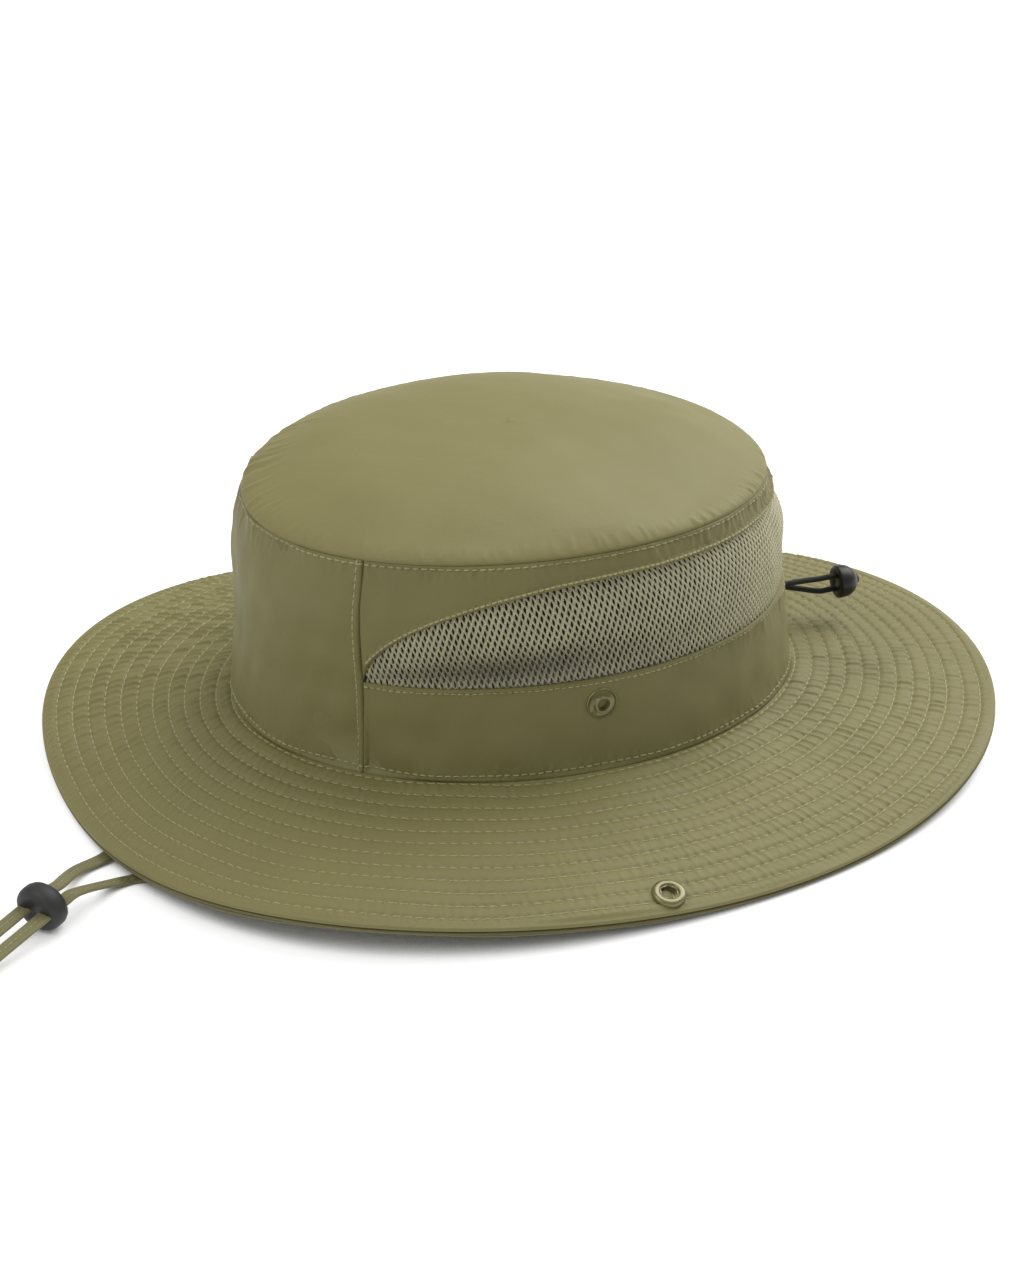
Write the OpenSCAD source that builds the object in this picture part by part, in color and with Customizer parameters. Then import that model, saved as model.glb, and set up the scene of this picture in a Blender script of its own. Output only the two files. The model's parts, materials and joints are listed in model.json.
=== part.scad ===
// Wide-brim sun hat: oval crown with mesh vents, stitched brim whose sides fold up and snap to
// the crown, a drawcord at the back and a chin strap that leaves from under the front of the brim.
// +X is the wearer's left, +Y the back, +Z up. The origin is the centre of the head opening, in
// the plane of the seam between crown and brim. Angles run round the crown: 0 left, 90 back.

/* [Crown] */
// Half width of the crown at the brim seam, outside
base_half_w = 86.6; // [82:0.1:90]
// Half length of the crown at the brim seam, outside
base_half_l = 108; // [102:0.1:112]
// Half width of the crown at its top seam
top_half_w = 81.8; // [78:0.1:84]
// Half length of the crown at its top seam
top_half_l = 99.6; // [95:0.1:104]
// Mean height of the top seam above the brim seam
seam_h = 83.5; // [75:0.5:92]
// Forward shift of the top seam
top_shift = 3.8; // [0:0.1:6]
// Rise of the domed top panel above its seam
dome_h = 18; // [10:0.5:24]
// How square the dome's shoulder is
dome_power = 2.6; // [2:0.1:4]
// Lift of the top seam at the front, and fall at the back
seam_tilt = 1.2; // [0:0.1:3]
// Lift of the top seam at the sides, and fall at front and back
seam_lift = 2; // [0:0.1:4]
// Angle of the vertical seam at the front of each side
front_seam_angle = -49; // [-55:0.5:-40]

/* [Mesh vents] */
// Lower edge of the mesh, as a share of the side's height
mesh_low = 0.43; // [0.36:0.01:0.5]
// Upper edge of the mesh where it is tallest, as a share of the side's height
mesh_high = 0.885; // [0.7:0.005:0.92]
// Angle over which the mesh grows from its front tip to its full height
mesh_rise_angle = 62; // [40:1:90]

/* [Brim] */
// Half width across the brim's edge
edge_half_w = 159.2; // [150:0.1:166]
// Half length across the brim's edge
edge_half_l = 185.7; // [178:0.1:192]
// Mean drop of the edge below the brim seam
edge_drop = 19; // [14:0.1:24]
// Extra drop at the sides
side_droop = 1.6; // [0:0.1:4]
// Depth of the edge's three-lobed wave
wave_3 = 4.6; // [0:0.1:6]
// Depth of the edge's four-lobed wave
wave_4 = 1.3; // [0:0.1:3]
// Narrowing of the outline's three lobes, as a share
lobe_3 = 0.028; // [0:0.001:0.04]
// Narrowing of the outline's four lobes, as a share
lobe_4 = 0.02; // [0:0.001:0.03]
// Width of the turned band round the brim's edge
binding_w = 2.6; // [2:0.1:4]
// Height of the turned band round the brim's edge
binding_t = 3.2; // [2.4:0.1:3.2]

/* [Fold-up sides] */
// Distance from the brim seam to the second crease, along x
lip_crease_run = 50.6; // [48:0.1:53]
// Height of the second crease's axis
lip_crease_z = -24; // [-25:0.5:-23]
// Gap left at each side of the first crease
crease_gap = 0.4; // [0.3:0.1:1]
// Height of the first crease's axis above the brim's upper face
crease_lift = 1.5; // [1.3:0.1:2]
// Gap left beyond the second crease, where the lip turns down
lip_gap = 2.6; // [2.6:0.1:4]

/* [Snaps] */
// Height of the stud on the side of the crown
stud_z = 27; // [24:0.5:30]
// Place of the socket across the brim, as a share of its width
socket_share = 0.888; // [0.86:0.002:0.9]
// Outside radius of the stud's tube
stud_r = 3.25; // [3:0.05:3.3]
// Height of the stud's tube above its flange
stud_tube_h = 1.9; // [1.5:0.1:2.1]
// Radius of the socket's bore
socket_r = 3.5; // [3.4:0.05:3.7]
// Height of the socket above the brim
socket_h = 2.2; // [1.8:0.1:2.3]
// Distance between crown and brim when a side is snapped up
mate_gap = 3.9; // [3.8:0.1:4]

/* [Drawcord] */
// Thickness of the cord
cord_d = 2.2; // [1.8:0.1:2.4]
// Height of the cord and its eyelet above the brim seam
cord_z = 16; // [14:0.5:17]
// Distance from the eyelet to the middle of the bead
bead_reach = 32; // [28:0.5:36]
// Distance between the two cords where they enter the bead
bead_pitch = 5.4; // [5:0.2:6]

/* [Chin strap] */
// Width of the folded fabric strap
strap_w = 6; // [5:0.5:7]
// Thickness of the strap
strap_t = 1.2; // [0.9:0.1:1.3]
// Length of the loop beyond the toggle
loop_length = 58; // [40:1:70]
// Distance between the strap's two runs in the toggle
toggle_pitch = 9.2; // [9:0.2:10]

/* [Fabric] */
// Thickness of a fabric panel
cloth_t = 0.5; // [0.4:0.05:0.6]
// Gap between sewn layers
layer_gap = 0.15; // [0.1:0.05:0.2]

/* [Hidden] */

$fn = 48;
PANEL_STEPS = 36;     // stations along a side panel
RING_STEPS = 96;      // stations round the whole brim
SEAM_GAP = 0.15;      // half of the gap between two panels that meet at a seam
OLIVE = "#8b8758";
OLIVE_DARK = "#645f3b";
OLIVE_UNDER = "#7a7549";
INTERLINING = "#c9c7bb";
CHARCOAL = "#2b2b2c";

// ---- Surfaces -------------------------------------------------------------------------------

function mix(a, b, t) = a + (b - a) * t;
function spread(a, b, n) = [for (i = [0:n]) mix(a, b, i / n)];

// Height of the top seam at angle p
function seam_z(p) = seam_h - seam_tilt * sin(p) + seam_lift * cos(2 * p);

// Point on the crown's side at angle p and height share v, a distance inside its outer face
function side_point(p, v, inside = 0) = [
    (mix(base_half_w, top_half_w, v) - inside) * cos(p),
    (mix(base_half_l, top_half_l, v) - inside) * sin(p) - top_shift * v,
    seam_z(p) * v
];

// Point on the crown's top panel, r = 0 at its middle and 1 at its seam
function dome_point(p, r, under = 0) = [
    r * (top_half_w - under / 2) * cos(p),
    r * (top_half_l - under / 2) * sin(p) - top_shift,
    seam_h + r * r * (seam_z(p) - seam_h) + dome_h * (1 - pow(r, dome_power)) - under
];

// Point on the brim's edge at angle p
function outline(p) = 1 - lobe_3 * sin(3 * p) - lobe_4 * cos(4 * p);
function edge_z(p) = -edge_drop - side_droop * cos(2 * p) - wave_3 * sin(3 * p) - wave_4 * cos(4 * p);
function edge_point(p) = [
    edge_half_w * outline(p) * cos(p), edge_half_l * outline(p) * sin(p), edge_z(p)
];

// Point on the brim's upper face, r = 0 at the crown seam and 1 at the edge
function brim_point(p, r, under = 0) =
    mix([base_half_w * cos(p), base_half_l * sin(p), 0], edge_point(p), r) - [0, 0, under];

// Share of the brim's width at which it crosses the plane x = at, or 1 if the edge comes first
function crossing(p, at) =
    let (x0 = base_half_w * cos(p), x1 = edge_point(p).x)
    abs(x1) <= at ? 1 : (at - abs(x0)) / (abs(x1) - abs(x0));

// Angle between 0 and last at which the line of width share r crosses the plane x = at
function crossing_angle(at, r, last, from = 0, n = 24) =
    let (m = (from + last) / 2)
    n == 0 ? m
    : brim_point(m, r).x > at ? crossing_angle(at, r, last, m, n - 1)
    : crossing_angle(at, r, m, from, n - 1);

// ---- Closed solids from two grids of points --------------------------------------------------

// upper and lower are grids of the same size. With ring, the last row joins the first.
module shell(upper, lower, ring = false) {
    n = len(upper);
    m = len(upper[0]);
    points = concat([for (row = upper) each row], [for (row = lower) each row]);
    rows = ring ? n : n - 1;
    function at(i, j, face) = face * n * m + (i % n) * m + j;
    faces = concat(
        [for (i = [0:rows - 1], j = [0:m - 2]) each [
            [at(i, j, 0), at(i, j + 1, 0), at(i + 1, j + 1, 0)],
            [at(i, j, 0), at(i + 1, j + 1, 0), at(i + 1, j, 0)],
            [at(i, j, 1), at(i + 1, j + 1, 1), at(i, j + 1, 1)],
            [at(i, j, 1), at(i + 1, j, 1), at(i + 1, j + 1, 1)]
        ]],
        [for (i = [0:rows - 1], e = [0, m - 1]) each (e == 0 ? [
            [at(i, e, 0), at(i + 1, e, 0), at(i + 1, e, 1)],
            [at(i, e, 0), at(i + 1, e, 1), at(i, e, 1)]
        ] : [
            [at(i, e, 0), at(i + 1, e, 1), at(i + 1, e, 0)],
            [at(i, e, 0), at(i, e, 1), at(i + 1, e, 1)]
        ])],
        ring ? [] : [for (j = [0:m - 2]) each [
            [at(0, j, 0), at(0, j, 1), at(0, j + 1, 1)],
            [at(0, j, 0), at(0, j + 1, 1), at(0, j + 1, 0)],
            [at(n - 1, j, 0), at(n - 1, j + 1, 1), at(n - 1, j, 1)],
            [at(n - 1, j, 0), at(n - 1, j + 1, 0), at(n - 1, j + 1, 1)]
        ]]
    );
    polyhedron(points, faces);
}

// A rod along a path: section is a list of [across, up] points, anticlockwise seen from behind
module rod(path, section) {
    n = len(path);
    k = len(section);
    function ahead(i) = let (d = path[min(i + 1, n - 1)] - path[max(i - 1, 0)]) d / norm(d);
    points = [for (i = [0:n - 1])
        let (
            side = cross(ahead(i), [0, 0, 1]),
            across = norm(side) < 0.05 ? [1, 0, 0] : side / norm(side),
            up = cross(across, ahead(i))
        )
        each [for (s = section) path[i] + across * s.x + up * s.y]
    ];
    polyhedron(points, concat(
        [for (i = [0:n - 2], j = [0:k - 1]) each [
            [i * k + j, i * k + (j + 1) % k, (i + 1) * k + (j + 1) % k],
            [i * k + j, (i + 1) * k + (j + 1) % k, (i + 1) * k + j]
        ]],
        [[for (j = [k - 1:-1:0]) j], [for (j = [0:k - 1]) (n - 1) * k + j]]
    ));
}

function round_section(d, k = 8) = [for (j = [0:k - 1]) d / 2 * [cos(360 * j / k), sin(360 * j / k)]];
function flat_section(w, t) = [[-w / 2, -t / 2], [w / 2, -t / 2], [w / 2, t / 2], [-w / 2, t / 2]];

// Smooth path through a few points
function bend(a, b, c, d, t) = 0.5 * (2 * b + (c - a) * t + (2 * a - 5 * b + 4 * c - d) * t * t
    + (3 * b - a - 3 * c + d) * t * t * t);
function smooth_path(p, steps) = let (n = len(p) - 1) [
    for (i = [0:n - 1], s = [0:steps - 1])
        bend(p[max(i - 1, 0)], p[i], p[i + 1], p[min(i + 2, n)], s / steps),
    p[n]
];

module both_sides(right) {
    mirror([right ? 1 : 0, 0, 0])
        children();
}

// ---- Crown ----------------------------------------------------------------------------------

module crown_top_panel() {
    rings = 7;
    rims = spread(0, 1, rings);
    n = 72;
    function ring(r, under) = [for (i = [0:n - 1]) dome_point(360 * i / n, r, under)];
    points = concat(
        [dome_point(0, 0, 0), dome_point(0, 0, cloth_t)],
        [for (k = [1:rings]) each ring(rims[k], 0)],
        [for (k = [1:rings]) each ring(rims[k], cloth_t)]
    );
    function at(k, i, face) = 2 + (face * rings + k - 1) * n + i % n;
    faces = [for (i = [0:n - 1]) each concat(
        [
            [0, at(1, i + 1, 0), at(1, i, 0)],
            [1, at(1, i, 1), at(1, i + 1, 1)],
            [at(rings, i, 0), at(rings, i + 1, 0), at(rings, i + 1, 1)],
            [at(rings, i, 0), at(rings, i + 1, 1), at(rings, i, 1)]
        ],
        [for (k = [1:rings - 1]) each [
            [at(k, i, 0), at(k, i + 1, 0), at(k + 1, i + 1, 0)],
            [at(k, i, 0), at(k + 1, i + 1, 0), at(k + 1, i, 0)],
            [at(k, i, 1), at(k + 1, i + 1, 1), at(k, i + 1, 1)],
            [at(k, i, 1), at(k + 1, i, 1), at(k + 1, i + 1, 1)]
        ]]
    )];
    color(OLIVE) translate([0, 0, layer_gap]) polyhedron(points, faces);
}

// Upper edge of the mesh at angle p, as a share of the side's height
function mesh_top(p) =
    let (s = min(1, max(0, (p - front_seam_angle) / mesh_rise_angle)))
    mesh_low + (mesh_high - mesh_low) * pow(1 - pow(1 - s, 2.5), 0.62);

// Part of the crown's side between the angles from and to, and the height shares low(p) and high(p)
module side_panel(from, to, low, high, t = cloth_t, inside = 0, steps = PANEL_STEPS) {
    angles = spread(from, to, steps);
    function row(p, depth) = [side_point(p, low(p), depth), side_point(p, high(p), depth)];
    shell([for (p = angles) row(p, inside)], [for (p = angles) row(p, inside + t)]);
}

seam_angle_gap = SEAM_GAP / base_half_l * 180 / PI;
base_v = 0.3 / seam_h;      // the sides start just above the brim
top_v = 1 - 0.6 / seam_h;   // and end just under the top panel
vent_gap = SEAM_GAP / seam_h;

module crown_front_panel() {
    color(OLIVE_DARK)
        side_panel(-180 - front_seam_angle + seam_angle_gap, front_seam_angle - seam_angle_gap,
            function (p) base_v, function (p) top_v, steps = 20);
}

module upper_side_panel(right) {
    color(OLIVE_DARK) both_sides(right)
        side_panel(front_seam_angle + seam_angle_gap, 90 - seam_angle_gap,
            function (p) mesh_top(p) + vent_gap, function (p) top_v);
}

stud_at = [side_point(0, stud_z / seam_z(0)).x, 0, stud_z];
wall_lean = atan2(base_half_w - top_half_w, seam_z(0));
post_r = 2.3;               // post of a snap's back, through the cloth
post_hole_r = post_r + 0.3;
eyelet_bore_r = 3;
eyelet_neck_r = 3.6;
eyelet_y = side_point(90, cord_z / seam_z(90)).y;
back_lean = atan2(base_half_l - top_half_l + top_shift, seam_z(90));

// Turns +Z to the stud's outward direction and puts the origin at the stud
module at_stud() {
    translate(stud_at) rotate([0, 90 - wall_lean, 0]) children();
}

// Turns +Z to the outward direction of the crown's back and puts the origin at the eyelet
module at_eyelet() {
    translate([0, eyelet_y, cord_z]) rotate([back_lean - 90, 0, 0]) children();
}

module lower_side_panel(right) {
    color(OLIVE_DARK) both_sides(right)
        difference() {
            side_panel(front_seam_angle + seam_angle_gap, 90 - seam_angle_gap,
                function (p) base_v, function (p) mesh_low - vent_gap);
            at_stud() cylinder(r = post_hole_r, h = 6, center = true);
            at_eyelet() cylinder(r = eyelet_neck_r + 0.15, h = 12, center = true);
        }
}

// The mesh starts one station behind the front seam, where it has some height
module mesh_vent(right) {
    first = front_seam_angle + seam_angle_gap;
    last = 90 - seam_angle_gap;
    color("#b0ad96") both_sides(right)
        side_panel(first + (last - first) / PANEL_STEPS, last,
            function (p) mesh_low + vent_gap, function (p) mesh_top(p) - vent_gap,
            steps = PANEL_STEPS - 1);
}

module back_seam_tape() {
    inside = cloth_t + layer_gap;
    color(OLIVE_UNDER)
        side_panel(87, 93, function (p) (cord_z + 6) / seam_h, function (p) 1 - 1.5 / seam_h,
            t = 0.4, inside = inside, steps = 3);
}

band_inside = 5.4;          // the sweatband's outer face, inside the crown's outer face
band_t = 0.8;
band_h = 24;

module sweatband() {
    angles = [for (i = [0:RING_STEPS - 1]) 360 * i / RING_STEPS];
    function row(p, depth) = [side_point(p, 0, depth), side_point(p, band_h / seam_h, depth)];
    color(OLIVE_UNDER)
        shell([for (p = angles) row(p, band_inside)], [for (p = angles) row(p, band_inside + band_t)],
            ring = true);
}

// ---- Brim -----------------------------------------------------------------------------------

// Depth of each layer's upper face below the brim's upper face
function layer_depth(k) = k * (cloth_t + layer_gap);
brim_t = layer_depth(2) + cloth_t;
inner_r = 0.002;            // the plies start just outside the crown seam

// First crease of a fold-up side, from the rule that both creases together bring the socket onto
// the stud with its face parallel to the crown. All in the plane y = 0, from the brim seam.
run = edge_point(0).x - base_half_w;
slope = atan2(-edge_z(0), run);
down = [cos(slope), -sin(slope)];
lip_start = [lip_crease_run, lip_crease_z];
socket_start = [run, edge_z(0)] * socket_share;
turn = 90 + wall_lean + slope;
function turned(v, a) = [v.x * cos(a) - v.y * sin(a), v.x * sin(a) + v.y * cos(a)];
socket_end = [stud_at.x - base_half_w, stud_at.z] + mate_gap * [cos(wall_lean), sin(wall_lean)];
lip_end = socket_end - turned(socket_start - lip_start, turn);
// The crease runs along the brim's slope, equally far from the lip crease before and after the fold
lip_move = lip_start - lip_end;
lifted = crease_lift * [sin(slope), cos(slope)];
fold_share = ((lip_start * lip_start - lip_end * lip_end) / 2 - lip_move * lifted) / (lip_move * down);
fold_start = fold_share * down + lifted;
function heading(v) = atan2(v.y, v.x);
fold_turn = heading(lip_end - fold_start) - heading(lip_start - fold_start);
lip_turn = turn - fold_turn;
fold_x = base_half_w + fold_start.x;
lip_x = base_half_w + lip_start.x;
echo(fold_axis = [fold_x, 0, fold_start.y], fold_turn = fold_turn);
echo(lip_axis = [lip_x, 0, lip_crease_z], lip_turn = lip_turn, lip_ratio = lip_turn / fold_turn);

fold_near = fold_x + crease_gap;
fold_far = lip_x - crease_gap;
lip_near = lip_x + lip_gap;
corner = 0.8;               // how far short of a crease's end a piece stops
ply_end = 1 - binding_w / (edge_half_w - base_half_w);
binding_start = ply_end + 0.004;

// One layer of the brim between the angles from and to, and the width shares near(p) and far(p)
module brim_layer(from, to, near, far, depth, t = cloth_t, steps = 24, ring = false) {
    angles = [for (i = [0:ring ? steps - 1 : steps]) mix(from, to, i / steps)];
    function row(p, d) = [brim_point(p, far(p), d), brim_point(p, near(p), d)];
    shell([for (p = angles) row(p, depth)], [for (p = angles) row(p, depth + t)], ring = ring);
}

module centre_layer(k) {
    brim_layer(0, 360, function (p) inner_r,
        function (p) min(ply_end, crossing(p, fold_x - crease_gap)),
        layer_depth(k), steps = RING_STEPS, ring = true);
}

module brim_top() { color(OLIVE) centre_layer(0); }
module brim_stiffener() { color(INTERLINING) centre_layer(1); }
module brim_under() { color(OLIVE_UNDER) centre_layer(2); }

// The binding on one stretch of the edge, kept between the planes x = low and x = high
module binding_arc(from, to, low = 0, high = 1000, steps = 24) {
    brim_layer(from, to, function (p) max(binding_start, crossing_in(p, low)),
        function (p) crossing(p, high), 0, t = binding_t, steps = steps);
}
function crossing_in(p, low) = low == 0 ? 0 : crossing(p, low);

module brim_binding() {
    far = fold_x - crease_gap;
    back = crossing_angle(far - corner, binding_start, 90);
    front = crossing_angle(far - corner, binding_start, -90);
    color(OLIVE) {
        binding_arc(back, 180 - back, high = far, steps = 40);
        binding_arc(-180 - front, front, high = far, steps = 40);
    }
}

// Fold-up side between its two creases
module fold_layer(k) {
    brim_layer(crossing_angle(fold_near + corner, ply_end, -90),
        crossing_angle(fold_near + corner, ply_end, 90),
        function (p) crossing(p, fold_near),
        function (p) min(ply_end, crossing(p, fold_far)), layer_depth(k), steps = 40);
}

module brim_top_fold(right) { color(OLIVE) both_sides(right) fold_layer(0); }
module brim_stiffener_fold(right) { color(INTERLINING) both_sides(right) fold_layer(1); }
module brim_under_fold(right) { color(OLIVE_UNDER) both_sides(right) fold_layer(2); }

module brim_binding_fold(right) {
    color(OLIVE) both_sides(right)
        for (last = [-90, 90]) {
            inner = crossing_angle(fold_far - corner, binding_start, last);
            outer = crossing_angle(fold_near + corner, 1, last);
            binding_arc(min(inner, outer), max(inner, outer), fold_near, fold_far, steps = 14);
        }
}

// Fold-up side beyond its second crease, with the hole for the socket's post
module lip_layer(k) {
    difference() {
        brim_layer(crossing_angle(lip_near + corner, ply_end, -90),
            crossing_angle(lip_near + corner, ply_end, 90),
            function (p) crossing(p, lip_near), function (p) ply_end, layer_depth(k), steps = 30);
        at_socket() cylinder(r = post_hole_r, h = 12, center = true);
    }
}

module brim_top_lip(right) { color(OLIVE) both_sides(right) lip_layer(0); }
module brim_stiffener_lip(right) { color(INTERLINING) both_sides(right) lip_layer(1); }
module brim_under_lip(right) { color(OLIVE_UNDER) both_sides(right) lip_layer(2); }

module brim_binding_lip(right) {
    color(OLIVE) both_sides(right)
        binding_arc(crossing_angle(lip_near + corner, 1, -90),
            crossing_angle(lip_near + corner, 1, 90), lip_near, steps = 30);
}

// ---- Snaps ----------------------------------------------------------------------------------

flange_r = 6;
flange_t = 0.8;
face_gap = 0.1;             // between the stud's flange and the cloth
socket_gap = 0.55;          // between the socket and the brim, which curves under it
socket_floor_t = 0.4;
socket_at = [base_half_w + socket_start.x, 0, socket_start.y];

// Turns +Z to the brim's upward normal and puts the origin at the socket
module at_socket() {
    translate(socket_at) rotate([0, slope, 0]) children();
}

module ring_part(outer, inner, z, h) {
    translate([0, 0, z]) difference() {
        cylinder(r = outer, h = h);
        translate([0, 0, -1]) cylinder(r = inner, h = h + 2);
    }
}

// A flange with a tube for the socket to grip
module snap_stud(right) {
    color(OLIVE) both_sides(right) at_stud() union() {
        ring_part(flange_r, post_r + 0.1, face_gap, flange_t);
        ring_part(stud_r, post_r + 0.1, face_gap + flange_t - 0.1, stud_tube_h + 0.1);
    }
}

// A cap with a hollow post, pressed from the other side of the cloth
module snap_back(cap_z, post_top) {
    union() {
        ring_part(flange_r - 0.5, post_r - 0.6, cap_z - flange_t, flange_t);
        ring_part(post_r, post_r - 0.6, cap_z - 0.1, post_top - cap_z + 0.1);
    }
}

module stud_back(right) {
    color("#9a9a94") both_sides(right) at_stud() snap_back(-cloth_t - 0.3, face_gap + flange_t);
}

// A ring whose bore grips the stud, on a floor that the post comes through
module snap_socket(right) {
    outer = flange_r + 0.3;
    color(OLIVE) both_sides(right) at_socket() union() {
        ring_part(outer, post_r + 0.1, socket_gap, socket_floor_t);
        ring_part(outer, socket_r, socket_gap + socket_floor_t - 0.1, socket_h - socket_floor_t);
    }
}

module socket_back(right) {
    color("#9a9a94") both_sides(right)
        at_socket() snap_back(-brim_t - socket_gap, socket_gap + socket_floor_t);
}

// ---- Drawcord -------------------------------------------------------------------------------

eyelet_flange_r = 5;
pair_x = 1.25;              // half the distance between the two cords in the eyelet
pivot_y = eyelet_y + 2.5;

module drawcord_eyelet() {
    color(OLIVE_UNDER) at_eyelet() union() {
        ring_part(eyelet_flange_r, eyelet_bore_r, 0.15, 0.7);
        ring_part(eyelet_neck_r, eyelet_bore_r, -1.3, 1.6);
        ring_part(eyelet_flange_r, eyelet_bore_r, -1.7, 0.5);
    }
}

// The cord in its channel round the crown, with both ends out through the eyelet
module drawcord_run() {
    depth = 3.4;
    v = cord_z / seam_h;
    gap = asin(0.9 * pair_x / (base_half_w - depth));
    function in_channel(p) = [side_point(p, v, depth).x, side_point(p, v, depth).y, cord_z];
    color(CHARCOAL) union() {
        rod([for (p = spread(90 - gap, -270 + gap, RING_STEPS)) in_channel(p)],
            round_section(cord_d, 6));
        for (s = [-1, 1])
            translate([s * pair_x, eyelet_y - depth - 1, cord_z]) rotate([-90, 0, 0])
                cylinder(d = cord_d, h = depth + 1 + cord_out);
    }
}

cord_out = 1.3;             // the cord's fixed length outside the eyelet
bead_drop = 3;              // how far the bead hangs below the eyelet
bead_r = 6.4;
cord_in_bead = 7.2;         // length of each cord inside the bead
bead_face_y = eyelet_y + bead_reach - 4;
bead_z = cord_z - bead_drop;
cord_spread = bead_pitch / 2;

// The two cords outside the crown, side by side at the eyelet and one above the other in the bead
module drawcord_tail() {
    color(CHARCOAL) for (s = [-1, 1])
        rod(smooth_path([
            [s * pair_x, pivot_y, cord_z - 0.2],
            [s * 0.95, mix(pivot_y, bead_face_y, 0.2), mix(cord_z, bead_z, 0.25) + s * 1.15],
            [s * 0.4, mix(pivot_y, bead_face_y, 0.45), mix(cord_z, bead_z, 0.6) + s * 1.9],
            [0, bead_face_y - 7, bead_z + s * (cord_spread - 0.05)],
            [0, bead_face_y - 3.5, bead_z + s * cord_spread],
            [0, bead_face_y, bead_z + s * cord_spread],
            [0, bead_face_y + cord_in_bead, bead_z + s * cord_spread]
        ], 4), round_section(cord_d));
}

// A dome with a flat face towards the crown, a small nose, and a hole for each cord
module drawcord_toggle() {
    face_in = 2.4;
    color(CHARCOAL) translate([0, bead_face_y, bead_z]) rotate([-90, 0, 0]) difference() {
        union() {
            intersection() {
                translate([0, 0, face_in]) sphere(r = bead_r);
                cylinder(r = bead_r, h = 2 * bead_r);
            }
            cylinder(r = 2, h = face_in + bead_r + 0.8);
        }
        for (s = [-1, 1]) translate([0, s * cord_spread, -1])
            cylinder(d = cord_d + 0.4, h = 2 * bead_r);
    }
}

// ---- Chin strap -----------------------------------------------------------------------------

ground_z = -27.6;           // the surface that the brim and the strap lie on
strap_z = ground_z + strap_t / 2;
anchor_x = base_half_w - 4.2;
anchor_z = -10;             // height of the bend where the strap leaves its anchor
toggle_r = 8.6;             // half its height
toggle_widening = 1.14;     // width over height
toggle_t = 9;
toggle_at = [75, -208, ground_z + toggle_r];
toggle_heading = -56;       // direction in which the strap leaves the hat, from +X
toggle_dip = 7.5;           // and its fall
along = [cos(toggle_heading) * cos(toggle_dip), sin(toggle_heading) * cos(toggle_dip), -sin(toggle_dip)];
beside = [-sin(toggle_heading), cos(toggle_heading), 0];
echo(toggle_slide = along);

module strap_anchor(right) {
    top = 8;
    bottom = anchor_z + 0.4;
    color(OLIVE_UNDER) both_sides(right)
        translate([anchor_x, 0, (top + bottom) / 2]) cube([1.6, strap_w, top - bottom], center = true);
}

// Both runs from their anchors under the brim to the toggle, and the loop beyond it
module chin_strap() {
    bend_r = toggle_pitch / 2;
    left_in = toggle_at + beside * bend_r;
    right_in = toggle_at - beside * bend_r;
    loop_at = toggle_at + along * (loop_length - bend_r);
    left_run = smooth_path([
        [anchor_x, -4.2, anchor_z - 0.9], [anchor_x + 0.6, -20, -15], [anchor_x, -60, -22.5],
        [72, -110, strap_z], [57, -155, strap_z], [55, -174, strap_z], left_in - along * 14 - [0, 0, 1],
        left_in - along * 6, left_in
    ], 5);
    right_run = smooth_path([
        right_in, right_in - along * 6, right_in - along * 14 - [0, 0, 1.5], [44, -187, -25.6],
        [31, -168, strap_z], [-2, -150, strap_z], [-66, -110, strap_z], [-anchor_x, -60, -22.5],
        [-anchor_x - 0.6, -20, -15],
        [-anchor_x, -4.2, anchor_z - 0.9]
    ], 5);
    loop = [for (a = spread(90, -90, 10)) loop_at + bend_r * (along * cos(a) + beside * sin(a))];
    color(OLIVE_UNDER) rod(concat(left_run, loop, right_run), flat_section(strap_w, strap_t));
}

// A thick rounded oval disc with a slot for each run and a small tab underneath
module chin_toggle() {
    color(CHARCOAL) translate(toggle_at) rotate([0, 0, toggle_heading]) rotate([0, 90 + toggle_dip, 0])
        difference() {
            union() {
                scale([1, toggle_widening, 1]) intersection() {
                    sphere(r = toggle_r + 0.9);
                    cylinder(r = toggle_r, h = toggle_t, center = true);
                }
                translate([toggle_r - 2, 0, -toggle_t / 2 + 0.8]) cube([4.4, 8, 2.4], center = true);
            }
            for (s = [-1, 1]) translate([0, s * toggle_pitch / 2, 0])
                cube([strap_t + 0.5, strap_w + 0.5, 2 * toggle_t], center = true);
        }
}

// ---- Assembly -------------------------------------------------------------------------------

crown_top_panel();
crown_front_panel();
upper_side_panel(false);  // upper_side_panel_left
upper_side_panel(true);  // upper_side_panel_right
lower_side_panel(false);  // lower_side_panel_left
lower_side_panel(true);  // lower_side_panel_right
mesh_vent(false);  // mesh_vent_left
mesh_vent(true);  // mesh_vent_right
back_seam_tape();
sweatband();
brim_top();
brim_stiffener();
brim_under();
brim_binding();
brim_top_fold(false);  // brim_top_fold_left
brim_stiffener_fold(false);  // brim_stiffener_fold_left
brim_under_fold(false);  // brim_under_fold_left
brim_binding_fold(false);  // brim_binding_fold_left
brim_top_fold(true);  // brim_top_fold_right
brim_stiffener_fold(true);  // brim_stiffener_fold_right
brim_under_fold(true);  // brim_under_fold_right
brim_binding_fold(true);  // brim_binding_fold_right
brim_top_lip(false);  // brim_top_lip_left
brim_stiffener_lip(false);  // brim_stiffener_lip_left
brim_under_lip(false);  // brim_under_lip_left
brim_binding_lip(false);  // brim_binding_lip_left
brim_top_lip(true);  // brim_top_lip_right
brim_stiffener_lip(true);  // brim_stiffener_lip_right
brim_under_lip(true);  // brim_under_lip_right
brim_binding_lip(true);  // brim_binding_lip_right
snap_stud(false);  // snap_stud_left
snap_stud(true);  // snap_stud_right
stud_back(false);  // stud_back_left
stud_back(true);  // stud_back_right
snap_socket(false);  // snap_socket_left
snap_socket(true);  // snap_socket_right
socket_back(false);  // socket_back_left
socket_back(true);  // socket_back_right
drawcord_eyelet();
drawcord_run();
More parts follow.
